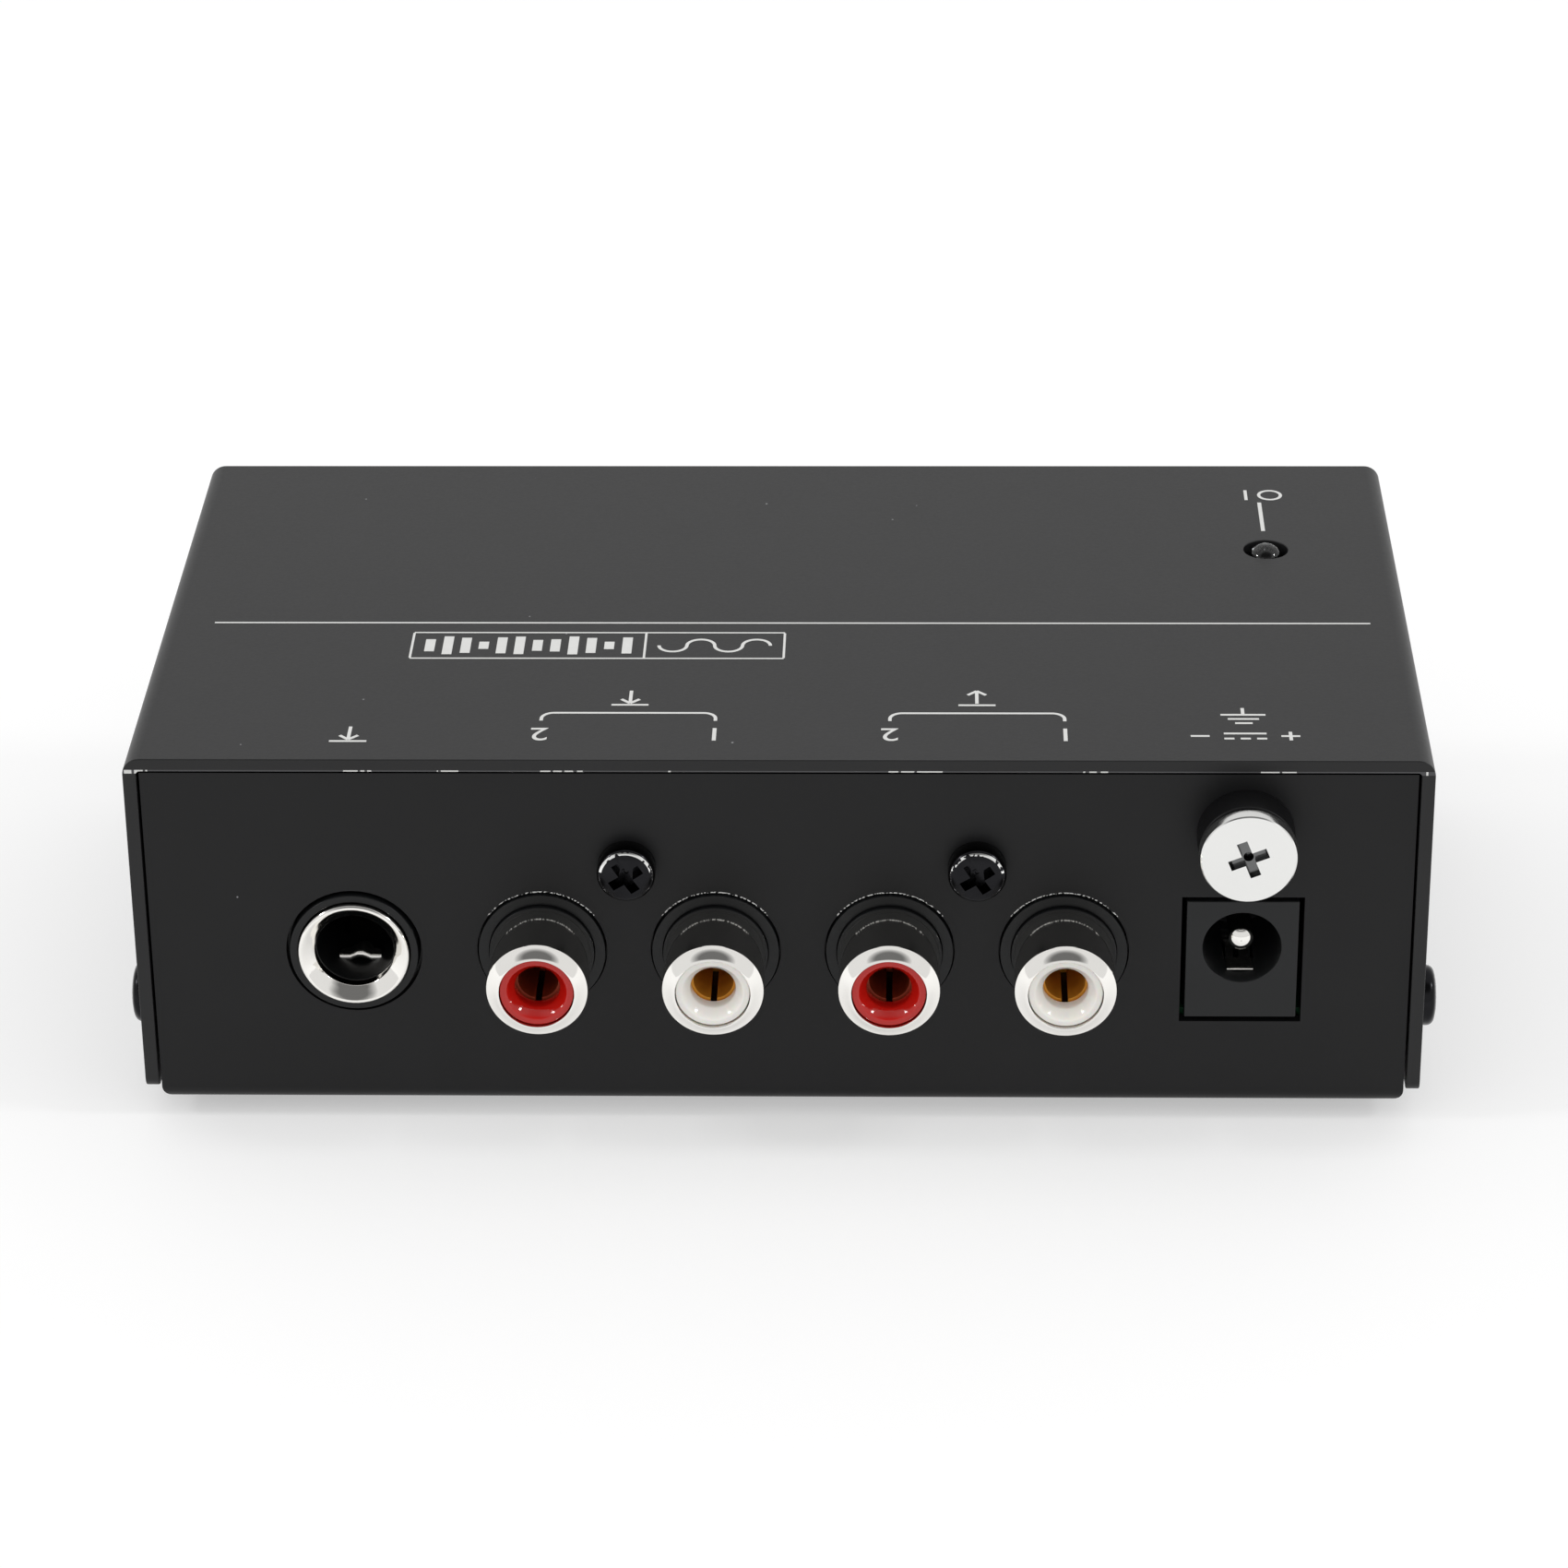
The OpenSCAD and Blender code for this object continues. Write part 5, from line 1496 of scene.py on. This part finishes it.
@dataclass(frozen=True)
class PowerSocket:
    """Barrel power socket: moulded body, centre pin and sleeve spring with its rolled tip.

    The pin's tip is laid on a crown of `crown_r` that stands `reach` further forward; corners up to
    `near` past the pin's radius belong to the tip.
    """

    body_rounding: float = 0.1
    pin_rounding: float = 0.05
    pin_r: float = 1.0
    crown_r: float = 1.4
    reach: float = 0.5
    near: float = 1e-3
    bore_r: float = 3.15
    tip_w: float = 2.1
    tip_from: float = 1.6
    tip_to: float = 3.6
    tip_t: float = 0.08
    curl_r: float = 0.16
    curl_to: float = 180.0
    curl_steps: int = 12
    curl_flat: float = 0.8

    def build(self) -> None:
        """Builds the socket's pieces."""
        soften_node("power_body", "dc_jack_housing", self.body_rounding, POLYESTER_GREY, FINE)
        add_piece("power_pin", self.pin(), NICKEL, ["dc_jack_pin"])
        add_piece("power_spring_tip", self.tip(), SPRING_BRIGHT, slot="spring_alloy")
        dress("dc_jack_spring", NICKEL)

    def axis(self) -> Vector:
        """Returns the point of the socket's axis in its face."""
        low, high = box_mm("dc_jack_pin")
        return Vector(((low.x + high.x) / 2, box_mm("dc_jack_housing")[0].y, high.z - self.pin_r))

    def pin(self) -> BMesh:
        """Makes the centre pin with its low-crowned tip.

        Returns:
            The pin, in millimetres.
        """
        bm = softened("dc_jack_pin", self.pin_rounding, FINE)
        mid, tip = self.axis(), box_mm("dc_jack_pin")[0].y
        for vert in bm.verts:
            away = math.hypot(vert.co.x - mid.x, vert.co.z - mid.z)
            if vert.co.y < tip + self.pin_r + self.near and away < self.pin_r + self.near:
                drop = self.crown_r - math.sqrt(self.crown_r**2 - min(away, self.pin_r) ** 2)
                vert.co.y = tip - self.reach + drop
        return bm

    def tip(self) -> BMesh:
        """Makes the rolled front end of the sleeve spring, which lies on the floor of the bore.

        Returns:
            The spring's tip, in millimetres.
        """
        half, roll = self.tip_w / 2, self.curl_r
        floor = self.tip_t - math.sqrt(self.bore_r**2 - half**2)
        way = [
            (self.tip_from + roll * (1 - math.cos(a)), floor + roll * math.sin(a) * self.curl_flat)
            for a in angles(0, self.curl_to, self.curl_steps)
        ]
        way.append((self.tip_to, floor))
        return leaf_strip([(-half, 0.0), (0.0, 0.0), (half, 0.0)], way, self.tip_t, self.axis())


@dataclass(frozen=True)
class EarthTerminal:
    """Black threaded post with a screw and a captive washer.

    The head draws in by `side_draft` from `draft_from` of its height up, with a corner at `draft_mid`:
    the share of the draft, and of the height. `thread_sink` is how deep the thread's ridge stands in
    the core, `thread_flank` its half width as a share of the pitch, `thread_crest` its crest's half
    width and `thread_end` what the thread leaves free at the screw's tip.
    """

    post_rounding: float = 0.15
    washer_rounding: float = 0.08
    head_bevel: float = 0.09
    side_draft: float = 0.14
    draft_from: float = 0.15
    draft_mid: Point = (0.35, 0.5)
    tip_bevel: float = 0.2
    thread_r: float = 2.0
    thread_pitch: float = 0.7
    thread_depth: float = 0.35
    thread_sink: float = 0.02
    thread_flank: float = 0.44
    thread_crest: float = 0.04
    thread_end: float = 0.15
    thread_steps: int = 24
    cross_span: float = 3.45
    cross_arm: float = 0.92
    cross_depth: float = 1.3
    cross_turn: float = math.radians(22)
    arm_share: float = 0.42

    def build(self) -> None:
        """Builds the post, the washer and the screw."""
        soften_node("earth_post", "ground_post", self.post_rounding, CASE_POWDER)
        soften_node("captive_washer", "ground_washer", self.washer_rounding, NICKEL, body=Body.WASHER)
        low, high = box_mm("ground_screw")
        zinc = replace(ZINC, centre=((low.x + high.x) / 2, low.y, (low.z + high.z) / 2))
        add_piece(
            "earth_terminal_screw", self.screw(), zinc, ["ground_screw"], body=Body.SCREW, sharp=TURNED_EDGE
        )

    def screw(self) -> BMesh:
        """Makes the flat-headed screw with its thread and cross.

        Returns:
            The screw, in millimetres.
        """
        low, high = box_mm("ground_screw")
        mid = (low + high) / 2
        seat = box_mm("ground_washer")[0].y
        head_r, head_t, length = (high.x - low.x) / 2, seat - low.y, high.y - seat
        core_r = self.thread_r - self.thread_depth
        share, height = self.draft_mid
        outline = [
            (0, -length),
            (core_r - self.tip_bevel, -length),
            (core_r, -length + self.tip_bevel),
            (core_r, 0),
            (head_r, 0),
            (head_r, head_t * self.draft_from),
            (head_r - self.side_draft * share, head_t * height),
            (head_r - self.side_draft, head_t - self.head_bevel),
            (head_r - self.side_draft - self.head_bevel, head_t),
            (0, head_t),
        ]
        screw = crossed(
            revolve(outline), head_t, self.cross_span, self.cross_arm, self.cross_depth, self.cross_turn,
            self.arm_share,
        )
        return moved(joined([screw, self.thread(length)]), out_of_panel(mid.x, seat, mid.z))

    def thread(self, length: float) -> BMesh:
        """Winds the thread's ridge round the core.

        Args:
            length: Length of the shank under the head.

        Returns:
            The ridge, in millimetres.
        """
        turns = int(length / self.thread_pitch) - 1
        root, crest = self.thread_r - self.thread_depth - self.thread_sink, self.thread_r
        half, top = self.thread_pitch * self.thread_flank, self.thread_crest
        bm = bmesh.new()
        start = self.thread_end - length + self.thread_pitch / 2
        section = [(root, -half), (crest, -top), (crest, top), (root, half)]
        face = bm.faces.new([bm.verts.new((r, 0, start + z)) for r, z in section])
        bmesh.ops.spin(
            bm, geom=[face], cent=(0, 0, 0), axis=(0, 0, 1),
            dvec=(0, 0, self.thread_pitch / self.thread_steps),
            angle=2 * math.pi * turns, steps=self.thread_steps * turns, use_merge=False,
        )
        bmesh.ops.recalc_face_normals(bm, faces=bm.faces)
        return bm


@dataclass(frozen=True)
class PowerLight:
    """Clear light in the cover's hole, with the lead frame that shows in its dome.

    Each leg ends at a flag: its side, how much lower it ends, and its width.
    """

    dome_r: float = 1.5
    dome_to: float = 80.0
    dome_steps: int = 8
    rim_t: float = 1.0
    body_l: float = 5.3
    lead_drop: float = 3.1
    lead_pitch: float = 2.54
    lead_t: float = 0.5
    lead_rounding: float = 0.08
    lead_tail: float = 2.8
    leg_drop: float = 5.0
    flag_drop: float = 5.4
    flag_out: float = 0.62
    flags: tuple[tuple[int, float, float], ...] = ((-1, 0.0, 1.0), (1, 0.4, 0.55))
    cup_out: float = -0.5
    cup: tuple[Point, ...] = ((0, 0), (0.35, 0), (0.6, 0.45), (0.7, 0.45), (0.55, -0.25), (0, -0.25))
    cup_steps: int = 32

    def build(self) -> None:
        """Builds the clear body and the lead frame in it, and dresses the sleeve under it."""
        low, high = box_mm("power_led")
        mid, rim_r, base = (low + high) / 2, (high.x - low.x) / 2, high.z - self.body_l
        dome_z = high.z - self.dome_r
        outline = [
            (0, base),
            (rim_r, base),
            (rim_r, base + self.rim_t),
            (self.dome_r, base + self.rim_t),
            *(
                (self.dome_r * math.cos(a), dome_z + self.dome_r * math.sin(a))
                for a in angles(0, self.dome_to, self.dome_steps)
            ),
            (0, high.z),
        ]
        body = moved(revolve(outline, SMALL_STEPS), Matrix.Translation((mid.x, mid.y, 0)))
        add_piece("light_body", body, EPOXY_CLEAR, ["power_led"])
        leads = self.leads(mid, box_mm("main_pcb")[1].z, high.z)
        # The leads carry painted shade, so that the dome's inside stays dark
        add_piece("light_leads", leads, SHADED_SPRING_NICKEL, slot="tinned_steel")
        dress("led_spacer", NYLON_BLACK)

    def leads(self, mid: Vector, board: float, top: float) -> BMesh:
        """Makes the two legs, the flags that they end in and the cup between them.

        Args:
            mid: Middle of the light.
            board: Height of the board's face.
            top: Height of the dome's top.

        Returns:
            The lead frame's mesh.
        """
        made = []
        for side, lower, width in self.flags:
            x, flag_x = mid.x + side * self.lead_pitch / 2, mid.x + side * self.flag_out
            made.append(self.strip(x, mid.y, board - self.lead_tail, top - self.leg_drop, self.lead_t))
            head = top - self.lead_drop - lower
            made.append(self.strip(flag_x, mid.y, top - self.flag_drop, head, width))
        at = Matrix.Translation((mid.x + self.cup_out, mid.y, top - self.lead_drop))
        made.append(moved(revolve(self.cup, self.cup_steps), at))
        return joined(made)

    def strip(self, x: float, y: float, low: float, high: float, width: float) -> BMesh:
        """Returns an upright strip of the lead frame, from one height to another."""
        return block((width, self.lead_t, high - low), (x, y, (low + high) / 2), self.lead_rounding)


@dataclass(frozen=True)
class CircuitBoard:
    """The board with its pillars and screws, and what stands on it."""

    def build(self) -> None:
        """Dresses the board and every part on it."""
        finishes = {
            LAMINATE: ("main_pcb",),
            TIN: ("board_pillars", "board_screws"),
            CHIP_EPOXY: ("opamp_left", "opamp_right", "voltage_regulator", "supply_diode"),
            FILM_RED: ("film_capacitors_left", "film_capacitors_right"),
            SLEEVE_BLUE: ("coupling_capacitors", "output_capacitors", "supply_capacitors"),
            LACQUER_TAN: ("resistors_left", "resistors_right"),
            FERRITE: ("supply_choke",),
        }
        for finish, nodes in finishes.items():
            for node in nodes:
                dress(node, finish)


# ---------------------------------------------------------------- studio


@dataclass(frozen=True)
class Studio:
    """Pale floor, plain soft light and the camera.

    The sky's dark side lies in the direction `dark_way`, full inside `dark_core` and gone past
    `dark_out`, and is `dark_wide` times as wide as it is high. Floor and lamps are in metres.
    """

    floor_half: float = 3.0
    floor_colour: str = "#c8c8c8"
    floor_lift: float = 0.43
    sky: float = 1.1
    dark_way: tuple[float, float, float] = (0.0, -0.545, 0.839)
    dark_core: float = math.radians(14)
    dark_out: float = math.radians(26)
    dark_level: float = 0.2
    dark_wide: float = 2.0
    sensor: float = 36.0
    lens: float = 118.67
    clip: Point = (0.01, 20.0)
    eye: tuple[float, float, float] = (11.3, -389.45, 217.5)
    pitch: float = 27.13
    yaw: float = 1.69
    roll: float = -0.67
    lamp_watts: float = 1.0
    lamp_side: float = 0.11
    lamp_spot: tuple[float, float, float] = (0.67, -0.12, 0.51)

    def build(self) -> None:
        """Builds the floor, the sky, the lamps and the camera."""
        self.floor()
        self.world()
        for side in (-1, 1):
            self.lamp(side)
        self.camera()

    def floor(self) -> None:
        """Builds the floor: it shows white to the eye and still takes the object's shadow."""
        mesh = bpy.data.meshes.new("studio_floor")
        bm = bmesh.new()
        bmesh.ops.create_grid(bm, x_segments=1, y_segments=1, size=self.floor_half)
        bm.to_mesh(mesh)
        bm.free()
        material = bpy.data.materials.new("studio_paper")
        material.use_nodes = True
        tree = material.node_tree
        tree.nodes.clear()
        paper = add_node(tree, "BsdfDiffuse", {"Color": linear(self.floor_colour)})
        lift = add_node(tree, "Math", {0: self.seen(tree), 1: self.floor_lift}, operation="MULTIPLY")
        glow = add_node(tree, "Emission", {"Strength": lift.outputs[0]})
        both = add_node(tree, "AddShader", {0: paper.outputs[0], 1: glow.outputs[0]})
        add_node(tree, "OutputMaterial", {"Surface": both.outputs[0]})
        mesh.materials.append(material)
        floor = add_object("studio_floor", mesh)

    def seen(self, tree: NodeTree) -> NodeSocket:
        """Tells the rays that show the studio from those that only light the object.

        Args:
            tree: The node tree that needs to know.

        Returns:
            The socket that is 1 for rays from the camera, a mirror or clear plastic.
        """
        path = add_node(tree, "LightPath")
        share = path.outputs["Is Camera Ray"]
        for ray in ("Is Glossy Ray", "Is Transmission Ray"):
            share = add_node(tree, "Math", {0: share, 1: path.outputs[ray]}, operation="MAXIMUM").outputs[0]
        return share

    def world(self) -> None:
        """Builds the sky: white all round, apart from the dark side of the room that metal mirrors."""
        world = bpy.data.worlds.new("studio_sky")
        bpy.context.scene.world = world
        world.use_nodes = True
        tree = world.node_tree
        tree.nodes.clear()
        around = {0: add_node(tree, "TexCoord").outputs["Generated"], 1: (1 / self.dark_wide, 1.0, 1.0)}
        squeezed = add_node(tree, "VectorMath", around, operation="MULTIPLY")
        way = add_node(tree, "VectorMath", {0: squeezed.outputs[0]}, operation="NORMALIZE")
        side = add_node(tree, "VectorMath", {0: way.outputs[0], 1: self.dark_way}, operation="DOT_PRODUCT")
        dark = add_node(
            tree,
            "MapRange",
            {
                "Value": side.outputs["Value"],
                "From Min": math.cos(self.dark_out),
                "From Max": math.cos(self.dark_core),
                "To Min": 1.0,
                "To Max": self.dark_level,
            },
        )
        glossy = add_node(tree, "LightPath").outputs["Is Glossy Ray"]
        mirrored = add_node(tree, "Mix", {0: glossy, 2: 1.0, 3: dark.outputs["Result"]}, data_type="FLOAT")
        light = {0: self.seen(tree), 2: self.sky, 3: mirrored.outputs[0]}
        strength = add_node(tree, "Mix", light, data_type="FLOAT")
        sky = add_node(tree, "Background", {"Strength": strength.outputs[0]})
        add_node(tree, "OutputWorld", {"Surface": sky.outputs[0]})

    def lamp(self, side: int) -> None:
        """Builds one soft lamp.

        Args:
            side: -1 for the left one, 1 for the right one.
        """
        light = bpy.data.lights.new("softbox", "AREA")
        light.shape = "SQUARE"
        light.size = self.lamp_side
        light.energy = self.lamp_watts
        spot = Vector((side * self.lamp_spot[0], *self.lamp_spot[1:]))
        turn = (-spot).to_track_quat("-Z", "Y")
        add_object("softbox", light).matrix_world = Matrix.Translation(spot) @ turn.to_matrix().to_4x4()

    def camera(self) -> None:
        """Builds the camera and makes it the scene's."""
        data = bpy.data.cameras.new("camera")
        data.sensor_width = self.sensor
        data.lens = self.lens
        data.clip_start, data.clip_end = self.clip
        camera = add_object("camera", data)
        turn = (
            Matrix.Rotation(math.radians(self.yaw), 4, "Z")
            @ Matrix.Rotation(math.radians(90 - self.pitch), 4, "X")
            @ Matrix.Rotation(math.radians(self.roll), 4, "Z")
        )
        camera.matrix_world = Matrix.Translation(Vector(self.eye) * MM) @ turn
        bpy.context.scene.camera = camera


def write_sizes() -> None:
    """Updates the scene, so that every piece's place is current."""
    bpy.context.view_layer.update()


def main() -> None:
    """Builds the studio and every sub-assembly in order."""
    logging.basicConfig(level=logging.INFO, format="%(name)s: %(message)s")
    bpy.context.scene.view_settings.view_transform = "Standard"
    assemblies = (
        Studio(),
        SteelCase(),
        ScreenPrint(),
        PhonoSockets(),
        PhoneJack(),
        PowerSocket(),
        EarthTerminal(),
        PowerLight(),
        CircuitBoard(),
    )
    for assembly in assemblies:
        LOG.info("building %s", type(assembly).__name__)
        assembly.build()
    write_sizes()


if __name__ == "__main__":
    main()
